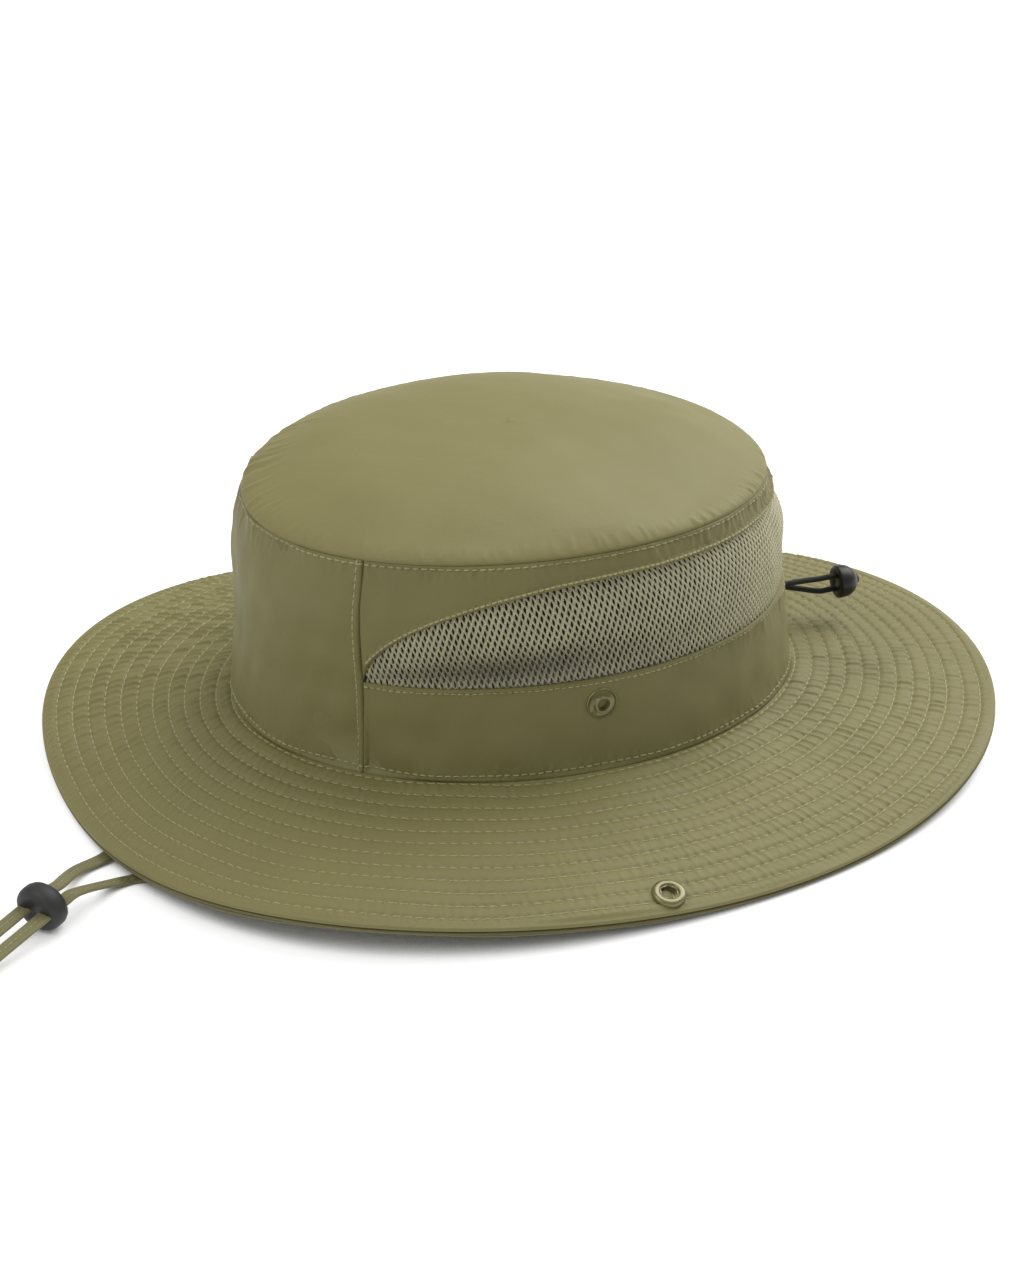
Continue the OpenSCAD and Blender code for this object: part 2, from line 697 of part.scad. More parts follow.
drawcord_tail();
drawcord_toggle();
strap_anchor(false);  // strap_anchor_left
strap_anchor(true);  // strap_anchor_right
chin_strap();
chin_toggle();
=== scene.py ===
import json
import math

import bpy
import numpy as np
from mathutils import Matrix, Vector


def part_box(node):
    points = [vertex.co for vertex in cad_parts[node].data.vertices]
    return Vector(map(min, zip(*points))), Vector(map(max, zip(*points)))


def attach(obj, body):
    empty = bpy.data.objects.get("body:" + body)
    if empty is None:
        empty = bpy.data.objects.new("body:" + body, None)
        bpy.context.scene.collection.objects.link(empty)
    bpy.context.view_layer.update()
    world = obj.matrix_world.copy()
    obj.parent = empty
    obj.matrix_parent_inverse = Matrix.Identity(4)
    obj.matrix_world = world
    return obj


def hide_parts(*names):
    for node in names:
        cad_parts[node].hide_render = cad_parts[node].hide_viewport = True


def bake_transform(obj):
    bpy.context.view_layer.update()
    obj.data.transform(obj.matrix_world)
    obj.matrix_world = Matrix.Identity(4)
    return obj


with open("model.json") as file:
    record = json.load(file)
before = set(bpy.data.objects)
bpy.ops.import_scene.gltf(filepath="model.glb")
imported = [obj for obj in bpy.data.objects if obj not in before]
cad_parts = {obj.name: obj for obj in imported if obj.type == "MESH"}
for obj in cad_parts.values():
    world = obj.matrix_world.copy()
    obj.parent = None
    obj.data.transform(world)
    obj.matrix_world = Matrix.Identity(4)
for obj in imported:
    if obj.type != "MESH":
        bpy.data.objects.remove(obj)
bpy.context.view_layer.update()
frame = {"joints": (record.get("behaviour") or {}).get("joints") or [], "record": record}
MM = 0.001
TAU = 2 * math.pi

# ---- Driving sizes, in mm and degrees
# The row frame: +X the wearer's left, +Y the back, +Z up. Angles run round the crown, 0 left and 90 back.


def node_box(name):
    lo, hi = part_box(name)
    return np.array(lo) / MM, np.array(hi) / MM


TOP_LO, TOP_HI = node_box("crown_top_panel")
BASE_W = node_box("lower_side_panel_left")[1][0]
BASE_L = -node_box("crown_front_panel")[0][1]
TOP_W = TOP_HI[0]
TOP_L = (TOP_HI[1] - TOP_LO[1]) / 2
TOP_SHIFT = -(TOP_HI[1] + TOP_LO[1]) / 2
SEAM_H, SEAM_TILT, SEAM_LIFT = 83.5, 1.2, 2.0
DOME_H = TOP_HI[2] - SEAM_H
DOME_POWER = 2.6
SEAM_ANGLE = -49.0              # vertical seam at the front of each side
MESH_LOW, MESH_HIGH, MESH_RISE = 0.43, 0.885, 62.0
WALL_BULGE, FRONT_BULGE = 3.0, 3.0  # how far the cloth stands out, all round and at the front right
ROUND_R = 97                    # mean radius that turns an angle into a run round the crown

EDGE_W, EDGE_L = 159.2, 185.7
EDGE_DROP, SIDE_DROOP, WAVE_3, WAVE_4 = 19.0, 1.6, 4.6, 1.3
LOBE_3, LOBE_4 = 0.028, 0.02
CLOTH_T = 0.5

JOINTS = {j["name"]: j for j in frame["joints"]}
FOLD_X = JOINTS["fold_left"]["pos_m"][0] / MM
LIP_X = JOINTS["lip_left"]["pos_m"][0] / MM
# where the cloth starts and ends its bend at each crease, and where the lip's pieces start
FOLD_BLEND = (FOLD_X - 13, FOLD_X + 11)
LIP_BLEND = (LIP_X - 11, LIP_X + 4)
LIP_START = (FOLD_BLEND[1] + LIP_BLEND[0]) / 2

ROWS = 12                       # rows of stitching round the brim
FIRST_ROW, LAST_ROW = 1.5, 6.0  # from the crown seam, and from the edge
BRIM_STITCH = 4.0               # length of a stitch with its gap
CROWN_STITCH = 3.1
GROUND_Z = -27.6                # the surface that the brim and the strap lie on


def mix(a, b, t):
    return a + (b - a) * t


def ramp(a, b, x):
    t = np.clip((x - a) / (b - a), 0, 1)
    return t * t * (3 - 2 * t)


def bell(x, width):
    return np.exp(-(x / width) ** 2)


def sind(a):
    return np.sin(np.radians(a))


def cosd(a):
    return np.cos(np.radians(a))


def stack(*parts):
    return np.stack(np.broadcast_arrays(*parts), -1)


def unit(v):
    return v / np.maximum(np.linalg.norm(v, axis=-1, keepdims=True), 1e-9)


def full_turn(n):
    return np.linspace(-180, 180, n, endpoint=False)


def angle_gap(p, middle):
    return np.abs((p - middle + 180) % 360 - 180)


def distances(path):
    """How far along a path each of its points lies."""
    return np.concatenate([[0], np.linalg.norm(np.diff(path, axis=0), axis=1).cumsum()])


def along(path, s, places):
    """Points at given distances along a path, or along values that belong to its points."""
    return np.stack([np.interp(places, s, path[:, k]) for k in range(3)], -1)


def fan(start, out, up, far, high):
    """Off each start, points that lie far along out and high along up."""
    return start[:, None] + out[:, None] * far[:, None] + up[:, None] * high[:, None]


def squared(value, power):
    """A sine or cosine pushed towards its ends, for rounded boxes and waves with flat tops."""
    return np.sign(value) * np.abs(value) ** power


def between(grid, i, k, j, a, b):
    """Reads a grid a share a of the way from column i to k, and b from row j to the next."""
    return (grid[i, j] * (1 - a) * (1 - b) + grid[k, j] * a * (1 - b)
            + grid[i, j + 1] * (1 - a) * b + grid[k, j + 1] * a * b)


# ---- Surfaces of the hat

def seam_z(p):
    return SEAM_H - SEAM_TILT * sind(p) + SEAM_LIFT * cosd(2 * p)


def side_point(p, v, inside=0.0):
    """The crown's wall. Above the snaps the cloth stands out a little, more at the front right."""
    out = WALL_BULGE * ramp(0.33, 0.74, v) * (1 - ramp(0.76, 1.0, v)) - inside
    out = out + FRONT_BULGE * bell(angle_gap(p, -140), 26) * ramp(0.1, 0.7, v) * (1 - ramp(0.86, 1.0, v))
    return stack((mix(BASE_W, TOP_W, v) + out) * cosd(p),
                 (mix(BASE_L, TOP_L, v) + out) * sind(p) - TOP_SHIFT * v, seam_z(p) * v)


def side_normal(p, v):
    round_it = side_point(p + 0.1, v) - side_point(p - 0.1, v)
    up_it = side_point(p, v + 0.01) - side_point(p, v - 0.01)
    return unit(np.cross(round_it, up_it))


def dome_point(p, r):
    return stack(r * TOP_W * cosd(p), r * TOP_L * sind(p) - TOP_SHIFT,
                 SEAM_H + r * r * (seam_z(p) - SEAM_H) + DOME_H * (1 - r ** DOME_POWER))


def outline(p):
    return 1 - LOBE_3 * sind(3 * p) - LOBE_4 * cosd(4 * p)


def edge_point(p):
    return stack(EDGE_W * outline(p) * cosd(p), EDGE_L * outline(p) * sind(p),
                 -EDGE_DROP - SIDE_DROOP * cosd(2 * p) - WAVE_3 * sind(3 * p) - WAVE_4 * cosd(4 * p))


def base_point(p):
    return stack(BASE_W * cosd(p), BASE_L * sind(p), 0 * p)


def brim_width(p):
    return np.linalg.norm(edge_point(p) - base_point(p), axis=-1)


def brim_point(p, r):
    return mix(base_point(p), edge_point(p), np.asarray(r)[..., None])


def brim_normal(p, r):
    round_it = brim_point(p + 0.1, r) - brim_point(p - 0.1, r)
    return unit(np.cross(edge_point(p) - base_point(p), round_it))


def mesh_top(p):
    s = np.clip((p - SEAM_ANGLE) / MESH_RISE, 0, 1)
    return MESH_LOW + (MESH_HIGH - MESH_LOW) * (1 - (1 - s) ** 2.5) ** 0.62


# ---- Height fields: gentle waves and sewn puckers

def waves(rng, round_len, height, shape, sizes):
    """A smooth field that wraps round, of waves between two lengths, with a mean square of one."""
    count = 14
    a = np.arange(shape[0])[:, None] / shape[0] * TAU
    h = np.linspace(0, height, shape[1])[None, :]
    field = np.zeros(shape)
    for _ in range(count):
        length, turn = rng.uniform(*sizes), rng.uniform(0, TAU)
        turns = max(1, round(abs(math.cos(turn)) * round_len / length))
        field += np.cos(turns * a + h * TAU * math.sin(turn) / length + rng.uniform(0, TAU))
    return field / math.sqrt(count / 2)


def add_folds(field, round_len, height, folds):
    """Adds soft ridges, each (place round, place up, half length, width, slant, height)."""
    n, m = field.shape
    ds, dt = round_len / n, height / (m - 1)
    for s0, t0, half, width, slant, amp in folds:
        reach = 5 * width + abs(slant) * half
        i = np.arange(int((s0 - reach) // ds), int((s0 + reach) // ds) + 2)
        j = np.arange(max(0, int((t0 - half) / dt)), min(m - 1, int((t0 + half) / dt) + 1) + 1)
        if len(j) == 0:
            continue
        t = j * dt - t0
        s = i[:, None] * ds - s0 - slant * t[None, :]
        fade = np.clip(1 - (t / half) ** 2, 0, 1) ** 1.3
        field[np.ix_(i % n, j)] += amp * (bell(s, width) - 0.45 * bell(s, 2.2 * width)) * fade
    return field


def sample(field, p, share):
    """Height of a wrapped field at angle p and a share of its height."""
    n, m = field.shape
    x = np.mod(p + 180, 360) / 360 * n
    y = np.clip(share, 0, 1) * (m - 1)
    i, j = np.floor(x).astype(int), np.minimum(np.floor(y).astype(int), m - 2)
    a, b = x - i, y - j
    return between(field, i % n, (i + 1) % n, j, a, b)


# ---- Meshes

def build(name, co, faces, material, uv=None, normals=None):
    """A smooth mesh from points in mm and a list of face arrays of any one width each."""
    mesh = bpy.data.meshes.new(name)
    mesh.vertices.add(len(co))
    mesh.vertices.foreach_set("co", (co * MM).astype(np.float32).ravel())
    loops = np.concatenate([np.asarray(f).ravel() for f in faces]).astype(np.int32)
    counts = np.concatenate([np.full(len(f), np.asarray(f).shape[1]) for f in faces])
    starts = np.concatenate([[0], np.cumsum(counts)[:-1]]).astype(np.int32)
    mesh.loops.add(len(loops))
    mesh.loops.foreach_set("vertex_index", loops)
    mesh.polygons.add(len(counts))
    mesh.polygons.foreach_set("loop_start", starts)
    mesh.update(calc_edges=True)
    mesh.validate()
    mesh.polygons.foreach_set("use_smooth", np.ones(len(mesh.polygons), bool))
    if uv is not None:
        layer = mesh.uv_layers.new(name="cloth")
        layer.data.foreach_set("uv", uv[loops].astype(np.float32).ravel())
    if normals is not None:
        mesh.normals_split_custom_set_from_vertices(normals.astype(np.float32))
    mesh.materials.append(material)
    piece = bpy.data.objects.new(name, mesh)
    bpy.context.scene.collection.objects.link(piece)
    return piece


def loft(grid, ring, wrap=True, flip=False):
    """Faces of a grid of sections: wrap closes each section, ring joins the last to the first."""
    n, m = grid.shape[:2]
    i = np.arange(n if ring else n - 1)[:, None]
    j = np.arange(m if wrap else m - 1)[None, :]
    a, b = i * m + j, (i + 1) % n * m + j
    c, d = (i + 1) % n * m + (j + 1) % m, i * m + (j + 1) % m
    quads = np.stack([a, b, c, d], -1).reshape(-1, 4)
    faces = [quads[:, ::-1] if flip else quads]
    if wrap and not ring:
        ends = np.stack([np.arange(m), (n - 1) * m + np.arange(m)[::-1]])
        faces.append(ends[:, ::-1] if flip else ends)
    return faces


def grid_normals(grid, flip):
    """Normals of a closed ring of closed sections."""
    n = unit(np.cross(*(np.roll(grid, -1, axis) - np.roll(grid, 1, axis) for axis in (0, 1))))
    return (-n if flip else n).reshape(-1, 3)


def grid_uv(grid):
    """Distances round and across a grid, in mm, with both started at its first point."""
    across = np.linalg.norm(np.diff(grid, axis=1, prepend=grid[:, :1]), axis=-1).cumsum(1)
    along = np.linalg.norm(np.diff(grid, axis=0, prepend=grid[:1]), axis=-1).cumsum(0)
    middle = along[:, along.shape[1] // 2][:, None]
    return stack(middle, across).reshape(-1, 2)


def add(piece, body, slot, *stands_for):
    """Hands a piece over: the body it rides on, its material's slot (not used), the CAD nodes it stands for.
    """
    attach(piece, body)
    if stands_for:
        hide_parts(*stands_for)
    return piece


def sheet(name, grid, material, ring=True, flip=False):
    return build(name, grid.reshape(-1, 3), loft(grid, ring, flip=flip), material, uv=grid_uv(grid))


def part_of(co, faces, uv, normals, keep):
    """The faces whose middles pass keep, with only their own points."""
    kept = [f[keep(co[f].mean(1))] for f in faces]
    used = np.unique(np.concatenate([f.ravel() for f in kept]))
    order = np.zeros(len(co), int)
    order[used] = np.arange(len(used))
    return (co[used], [order[f] for f in kept], None if uv is None else uv[used],
            None if normals is None else normals[used])


BRIM_PARTS = {
    "": lambda c: np.abs(c[:, 0]) < FOLD_BLEND[0],
    "_fold_left": lambda c: (c[:, 0] >= FOLD_BLEND[0]) & (c[:, 0] < LIP_START),
    "_lip_left": lambda c: c[:, 0] >= LIP_START,
    "_fold_right": lambda c: (c[:, 0] <= -FOLD_BLEND[0]) & (c[:, 0] > -LIP_START),
    "_lip_right": lambda c: c[:, 0] <= -LIP_START,
}


def brim_pieces(name, co, faces, material, stands_for=None, uv=None, normals=None):
    """Cuts a ring of the brim where its bodies meet, into a piece for each; only the middle piece is
    attached, to the crown.
    """
    for part, keep in BRIM_PARTS.items():
        cut = part_of(co, faces, uv, normals, keep)
        piece = build(name + part, *cut[:2], material, *cut[2:])
        if part == "":
            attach(piece, "crown")
        else:
            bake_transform(piece)
        if stands_for:
            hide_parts(stands_for + part)


STITCH_RISE, STITCH_SINK = 0.1, 0.26


def stitch_run(path, normal, pitch, radius, closed, length=0.8):
    """Threads along a path: an arched capsule for each stitch. Returns points and faces."""
    if closed:
        path = np.concatenate([path, path[:1]])
        normal = np.concatenate([normal, normal[:1]])
    s = distances(path)
    count = max(1, round(s[-1] / pitch))
    pitch = s[-1] / count
    t = np.array([0.0, 0.12, 0.5, 0.88, 1.0])
    at = (np.arange(count)[:, None] + (1 - length) / 2 + length * t[None, :]) * pitch
    fat = radius * np.array([0.55, 1.0, 1.15, 1.0, 0.55])
    up = np.array([-STITCH_SINK, STITCH_RISE * 0.6, STITCH_RISE, STITCH_RISE * 0.6, -STITCH_SINK])
    n = unit(along(normal, s, at))
    middle = along(path, s, at) + n * up[:, None]
    heading = unit(along(path, s, np.minimum(at + 0.2, s[-1])) - along(path, s, np.maximum(at - 0.2, 0)))
    across = unit(np.cross(heading, n))
    k = 6
    turn = np.arange(k) * TAU / k
    rim = (across[..., None, :] * np.cos(turn)[:, None] + n[..., None, :] * np.sin(turn)[:, None])
    co = middle[..., None, :] + rim * fat[None, :, None, None]
    m = len(t)
    first = np.arange(count)[:, None] * m * k
    ring = first[..., None] + (np.arange(m - 1) * k)[:, None]
    a, b = ring + np.arange(k), ring + (np.arange(k) + 1) % k
    quads = np.stack([a, b, b + k, a + k], -1).reshape(-1, 4)
    caps = np.concatenate([first + np.arange(k)[::-1], first + (m - 1) * k + np.arange(k)])
    return co.reshape(-1, 3), [quads, caps]


def join(parts):
    """Points and faces of several runs as one."""
    co, faces, base = [], {}, 0
    for c, fs in parts:
        co.append(c)
        for f in fs:
            faces.setdefault(f.shape[1], []).append(f + base)
        base += len(c)
    return np.concatenate(co), [np.concatenate(f) for f in faces.values()]


# ---- Materials

class Nodes:
    """Short calls for a material's nodes."""

    def __init__(self, name):
        self.mat = bpy.data.materials.new(name)
        self.mat.use_nodes = True
        self.tree = self.mat.node_tree
        self.out = next(n for n in self.tree.nodes if n.type == "OUTPUT_MATERIAL")
        self.bsdf = next(n for n in self.tree.nodes if n.type == "BSDF_PRINCIPLED")

    def put(self, socket, value):
        if isinstance(value, bpy.types.NodeSocket):
            self.tree.links.new(value, socket)
        else:
            socket.default_value = value

    def node(self, kind, **inputs):
        n = self.tree.nodes.new(kind)
        for key, value in inputs.items():
            self.put(n.inputs[key.replace("_", " ")], value)
        return n

    def math(self, operation, a, b=0.0):
        n = self.tree.nodes.new("ShaderNodeMath")
        n.operation = operation
        self.put(n.inputs[0], a)
        self.put(n.inputs[1], b)
        return n.outputs[0]

    def plus(self, a, b):
        return self.math("ADD", a, b)

    def minus(self, a, b):
        return self.math("SUBTRACT", a, b)

    def times(self, a, b):
        return self.math("MULTIPLY", a, b)

    def uv(self):
        n = self.tree.nodes.new("ShaderNodeUVMap")
        n.uv_map = "cloth"
        split = self.node("ShaderNodeSeparateXYZ", Vector=n.outputs[0]).outputs
        return split[0], split[1], n.outputs[0]

    def noise(self, scale, detail=3.0, roughness=0.5, vector=None):
        if vector is None:
            vector = self.node("ShaderNodeTexCoord").outputs["Object"]
        return self.node("ShaderNodeTexNoise", Scale=scale, Detail=detail, Roughness=roughness,
                         Vector=vector).outputs["Fac"]

    def colours(self, factor, *stops):
        n = self.tree.nodes.new("ShaderNodeValToRGB")
        ramp_ = n.color_ramp
        while len(ramp_.elements) < len(stops):
            ramp_.elements.new(0.5)
        for element, (place, colour) in zip(ramp_.elements, stops):
            element.position = place
            element.color = (*colour, 1)
        self.put(n.inputs[0], factor)
        return n.outputs[0]

    def mixed(self, factor, a, b):
        n = self.tree.nodes.new("ShaderNodeMix")
        n.data_type = "RGBA"
        self.put(n.inputs[0], factor)
        self.put(n.inputs[6], a if isinstance(a, bpy.types.NodeSocket) else (*a, 1))
        self.put(n.inputs[7], b if isinstance(b, bpy.types.NodeSocket) else (*b, 1))
        return n.outputs[2]

    def bump(self, height, distance, strength=1.0, normal=None):
        under = {} if normal is None else {"Normal": normal}
        return self.node("ShaderNodeBump", Strength=strength, Distance=distance, Height=height,
                         **under).outputs[0]

    def set(self, **values):
        for key, value in values.items():
            self.put(self.bsdf.inputs[key.replace("_", " ")], value)
        return self.mat


def tint(colour, k):
    return tuple(min(1.0, c * k) for c in colour)


def woven(name, colour, pitch=0.42, roughness=0.58, sheen=0.14):
    """Fine plain weave: threads over and under, slubs, slow changes of shade, and a painted sheen that pales
    the cloth where it turns away from the view.
    """
    n = Nodes(name)
    u, v, both = n.uv()
    a = n.math("SINE", n.times(u, TAU / pitch))
    b = n.math("SINE", n.times(v, TAU / pitch))
    cross = n.times(a, b)
    slub = n.noise(0.9, 2.0, 0.6, both)
    shade = n.noise(22, 3.0, 0.55)
    fleck = n.noise(900, 2.0, 0.6)
    fine = n.plus(n.times(cross, 0.10), n.times(fleck, 0.35))
    tone = n.plus(n.plus(n.times(shade, 0.75), fine), -0.05)
    base = n.colours(tone, (0.15, tint(colour, 0.91)), (0.5, colour), (0.85, tint(colour, 1.09)))
    # painted sheen: the colour pales towards a lighter tint at grazing angles
    facing = n.node("ShaderNodeLayerWeight", Blend=0.35).outputs["Facing"]
    base = n.mixed(n.times(facing, 0.14), base, tint(colour, 1.5))
    height = n.plus(n.times(cross, 0.5), n.times(slub, 0.6))
    bump = n.bump(height, 0.00006, 0.5)
    bump = n.bump(n.noise(260, 3.0, 0.6), 0.00035, 0.35, bump)
    rough = n.plus(n.times(fleck, 0.16), roughness - 0.08)
    return n.set(Base_Color=base, Roughness=rough, Normal=bump, Sheen_Weight=sheen,
                 Sheen_Roughness=0.45, Sheen_Tint=(*tint(colour, 2.0), 1), Specular_IOR_Level=0.34)


def knitted(name, colour, shade):
    """Glossy knit: filaments, a painted highlight that pales it towards the back, painted shade in the hollow
    at its front lower part and a painted shadow under its upper rib, and darker along its lowest edge.
    The coordinates are the angle round the crown and the share of the vent's height."""
    n = Nodes(name)
    p, share, _ = n.uv()
    across = n.times(n.minus(share, 0.2), 1 / 0.17)
    along = n.times(n.plus(p, 20.0), 1 / 26)
    spread = n.plus(n.times(across, across), n.times(along, along))
    # painted shade in the hollow where the knit sinks at its front lower part
    hollow_shade = n.math("POWER", 0.4, spread)
    foot = n.times(n.minus(0.14, share), 3.0)
    # painted shadow: a dark line under the upper rib
    head = n.times(n.minus(share, 0.955), 16.0)
    # the painted shade and shadow, with the darker lowest edge, mix the knit towards the shade colour
    dark = n.math("MAXIMUM", n.math("MAXIMUM", n.times(hollow_shade, 0.85), foot), head)
    filament = n.noise(1400, 2.0, 0.6)
    patch = n.noise(60, 3.0, 0.6)
    tone = n.plus(n.times(filament, 0.6), n.times(patch, 0.5))
    base = n.colours(tone, (0.25, tint(colour, 0.62)), (0.75, tint(colour, 1.22)))
    base = n.mixed(dark, base, shade)
    # painted highlight: the knit pales towards its back end
    back = n.times(n.minus(p, 10.0), 1 / 110)
    base = n.mixed(back, base, tint(colour, 1.9))
    return n.set(Base_Color=base, Roughness=n.plus(n.times(filament, 0.3), 0.2),
                 Normal=n.bump(filament, 0.00008, 0.5), Sheen_Weight=0.3, Sheen_Roughness=0.4,
                 Specular_IOR_Level=0.7)


def spun(name, colour):
    """Twisted thread or braided cord: slanting strands."""
    n = Nodes(name)
    coords = n.node("ShaderNodeTexCoord").outputs["Object"]
    wave = n.node("ShaderNodeTexWave", Vector=coords, Scale=1000 / 0.8 / 3, Distortion=1.5,
                  Detail=1.0).outputs["Fac"]
    shade = n.noise(300, 2.0, 0.6)
    tone = n.plus(n.times(wave, 0.45), n.times(shade, 0.55))
    base = n.colours(tone, (0.15, tint(colour, 0.78)), (0.85, tint(colour, 1.16)))
    return n.set(Base_Color=base, Roughness=0.7, Normal=n.bump(wave, 0.00012, 0.6),
                 Sheen_Weight=0.3, Sheen_Roughness=0.5)


def braided(name, colour):
    """Round braid: strands crossing both ways along a swept tube's own coordinates."""
    n = Nodes(name)
    u, v, _ = n.uv()
    one = n.math("SINE", n.times(n.plus(u, v), TAU / 1.1))
    two = n.math("SINE", n.times(n.minus(u, v), TAU / 1.1))
    strands = n.math("MAXIMUM", one, two)
    base = n.colours(n.plus(n.times(strands, 0.4), n.times(n.noise(400), 0.4)),
                     (0.1, tint(colour, 0.6)), (0.9, tint(colour, 1.8)))
    return n.set(Base_Color=base, Roughness=0.62, Normal=n.bump(strands, 0.00025, 0.7),
                 Sheen_Weight=0.08, Sheen_Roughness=0.5, Specular_IOR_Level=0.3)


def moulded(name, colour, roughness=0.42, grain=0.25):
    """Moulded plastic: a fine eggshell grain, slight wear and dust."""
    n = Nodes(name)
    dust = n.noise(140, 4.0, 0.6)
    base = n.colours(dust, (0.3, colour), (0.8, tint(colour, 1.5)))
    rough = n.plus(n.times(dust, 0.25), roughness - 0.1)
    return n.set(Base_Color=base, Roughness=rough, Normal=n.bump(n.noise(2200, 2.0, 0.5), 0.00004, grain),
                 Specular_IOR_Level=0.36)


def enamelled(name, colour, roughness=0.36):
    """Painted brass: soft gloss, orange peel, and paint rubbed thin in specks."""
    n = Nodes(name)
    peel = n.noise(1500, 2.0, 0.5)
    wear = n.math("GREATER_THAN", n.noise(900, 4.0, 0.7), 0.71)
    base = n.mixed(wear, n.colours(n.noise(200), (0.3, tint(colour, 0.9)), (0.7, tint(colour, 1.1))),
                   tint(colour, 1.6))
    return n.set(Base_Color=base, Roughness=n.plus(n.times(peel, 0.2), roughness - 0.1),
                 Normal=n.bump(peel, 0.00005, 0.3), Metallic=0.35, Coat_Weight=0.3, Coat_Roughness=0.3)


def plated(name, colour):
    """Nickel-plated steel, turned: a fine grain and a few dull patches."""
    n = Nodes(name)
    patches = n.noise(300, 4.0, 0.6)
    base = n.colours(patches, (0.3, tint(colour, 0.8)), (0.7, colour))
    rough = n.plus(n.times(patches, 0.3), 0.24)
    return n.set(Base_Color=base, Metallic=0.95, Roughness=rough, Normal=n.bump(n.noise(1800), 0.00003, 0.3))


def srgb(r, g, b):
    return tuple((c / 255 / 12.92) if c <= 10 else ((c / 255 + 0.055) / 1.055) ** 2.4 for c in (r, g, b))


OLIVE = srgb(114, 109, 66)
# the walls' olive is the top's painted darker: painted shade on the crown's sides
OLIVE_SHADED_SIDE = srgb(104, 99, 58)
CROWN_CLOTH = woven("crown_cloth", OLIVE_SHADED_SIDE)
DOME_CLOTH = woven("dome_cloth", OLIVE)
BRIM_CLOTH = woven("brim_cloth", srgb(113, 108, 66))
# a darker copy of the brim's olive: painted shade for the under ply
UNDER_CLOTH = woven("under_cloth", srgb(100, 96, 62), roughness=0.66)
EDGE_CLOTH = woven("edge_cloth", srgb(96, 92, 58), roughness=0.66)
TAPE_CLOTH = woven("tape_cloth", srgb(98, 93, 60), pitch=0.7, roughness=0.75, sheen=0.2)
BAND_CLOTH = woven("band_cloth", srgb(92, 88, 58), pitch=0.9, roughness=0.85, sheen=0.5)
STRAP_CLOTH = woven("strap_cloth", srgb(112, 108, 74), roughness=0.62)
INTERLINING = woven("interlining", srgb(205, 203, 192), pitch=1.1, roughness=0.9, sheen=0.1)
KNIT = knitted("vent_knit", srgb(148, 144, 113), srgb(70, 66, 42))
THREAD = spun("thread", srgb(152, 148, 104))
CROWN_THREAD = spun("crown_thread", srgb(146, 141, 96))
CORD = braided("cord", srgb(19, 16, 12))
BEAD = moulded("bead", srgb(20, 18, 14), roughness=0.4)
RUBBER = moulded("toggle_rubber", srgb(36, 36, 35), roughness=0.5, grain=0.5)
ENAMEL = enamelled("snap_enamel", srgb(108, 103, 62), roughness=0.3)
EYELET = enamelled("eyelet_enamel", srgb(104, 100, 66))
NICKEL = plated("snap_back", srgb(112, 106, 74))

# ---- Brim

BRIM_N = 2400
BAND_STEPS, INNER_STEPS, OUTER_STEPS = 9, 4, 11
UNDER_STEPS, UNDER_INNER = 6, 2
HIDDEN_STEPS = 44               # across the plies' inner faces, fine enough to bend at the creases
# depths under the brim's surface: interlining, inner and outer face of the under ply, turned band
INTERLINING_TOP, INTERLINING_LOW, UNDER_TOP, UNDER_LOW, BAND_DEPTH = 1.15, 1.6, 1.75, 2.5, 2.3
TUCK = 0.8                      # how far the brim runs in under the crown's edge
RIDGE_GAP, EDGE_RIDGE_GAP = 4.0, 2.6
RIDGE_H, EDGE_PUCKER = 1.2, 0.14
EDGE_ROLL = 0.85                # radius of the upper ply's turned edge


def brim_distances(p, band_steps, inner_steps, outer_steps):
    """Distances from the crown seam at each angle, with every stitch row on a line of the grid."""
    w = brim_width(p)[:, None]
    first, last = FIRST_ROW + 0 * w, w - LAST_ROW
    return np.concatenate([
        mix(-TUCK + 0 * w, first, np.linspace(0, 1, inner_steps, endpoint=False)[None]),
        mix(first, last, np.linspace(0, 1, (ROWS - 1) * band_steps, endpoint=False)[None]),
        mix(last, w - EDGE_ROLL, np.linspace(0, 1, outer_steps + 1)[None])], 1)


def pucker_strength(p):
    """How much the cloth of the brim gathers at each angle."""
    return np.clip(0.13 + 1.15 * bell(angle_gap(p, -122), 40) + 0.62 * bell(angle_gap(p, 72), 42)
                   + 0.6 * bell(angle_gap(p, 150), 40), 0, 1.2)


def crests(rng, before, length, gap):
    """Places of the ridges along a band: carried over from the band before, then evened out."""
    if before is None:
        places = np.cumsum(rng.uniform(0.75, 1.3, int(length / gap) + 2)) * gap
    else:
        stray = np.where(rng.uniform(0, 1, len(before)) < 0.25, gap * 0.5, 0.0)
        places = before * length + rng.normal(0, 0.13 * gap, len(before)) + stray
    places = np.sort(places[(places > 0) & (places < length)])
    kept = [places[0]]
    for place in places[1:]:
        while place - kept[-1] > 1.6 * gap:
            kept.append(kept[-1] + gap * rng.uniform(0.8, 1.2))
        if place - kept[-1] > 0.62 * gap:
            kept.append(place)
    return np.array(kept)


def band_ridges(rng, places, length, strength):
    """Heights every 0.1 mm along a band: a narrow crest at each place, in a shallow trough."""
    line = np.zeros(int(length / 0.1) + 1)
    s = np.arange(len(line)) * 0.1
    for place in places:
        k = slice(max(0, int((place - 5) / 0.1)), int((place + 5) / 0.1))
        off = s[k] - place
        tall = rng.uniform(0.35, 1.0) * strength(place)
        line[k] += tall * (bell(off, rng.uniform(0.6, 0.95)) - 0.22 * bell(off, 2.3))
    return line


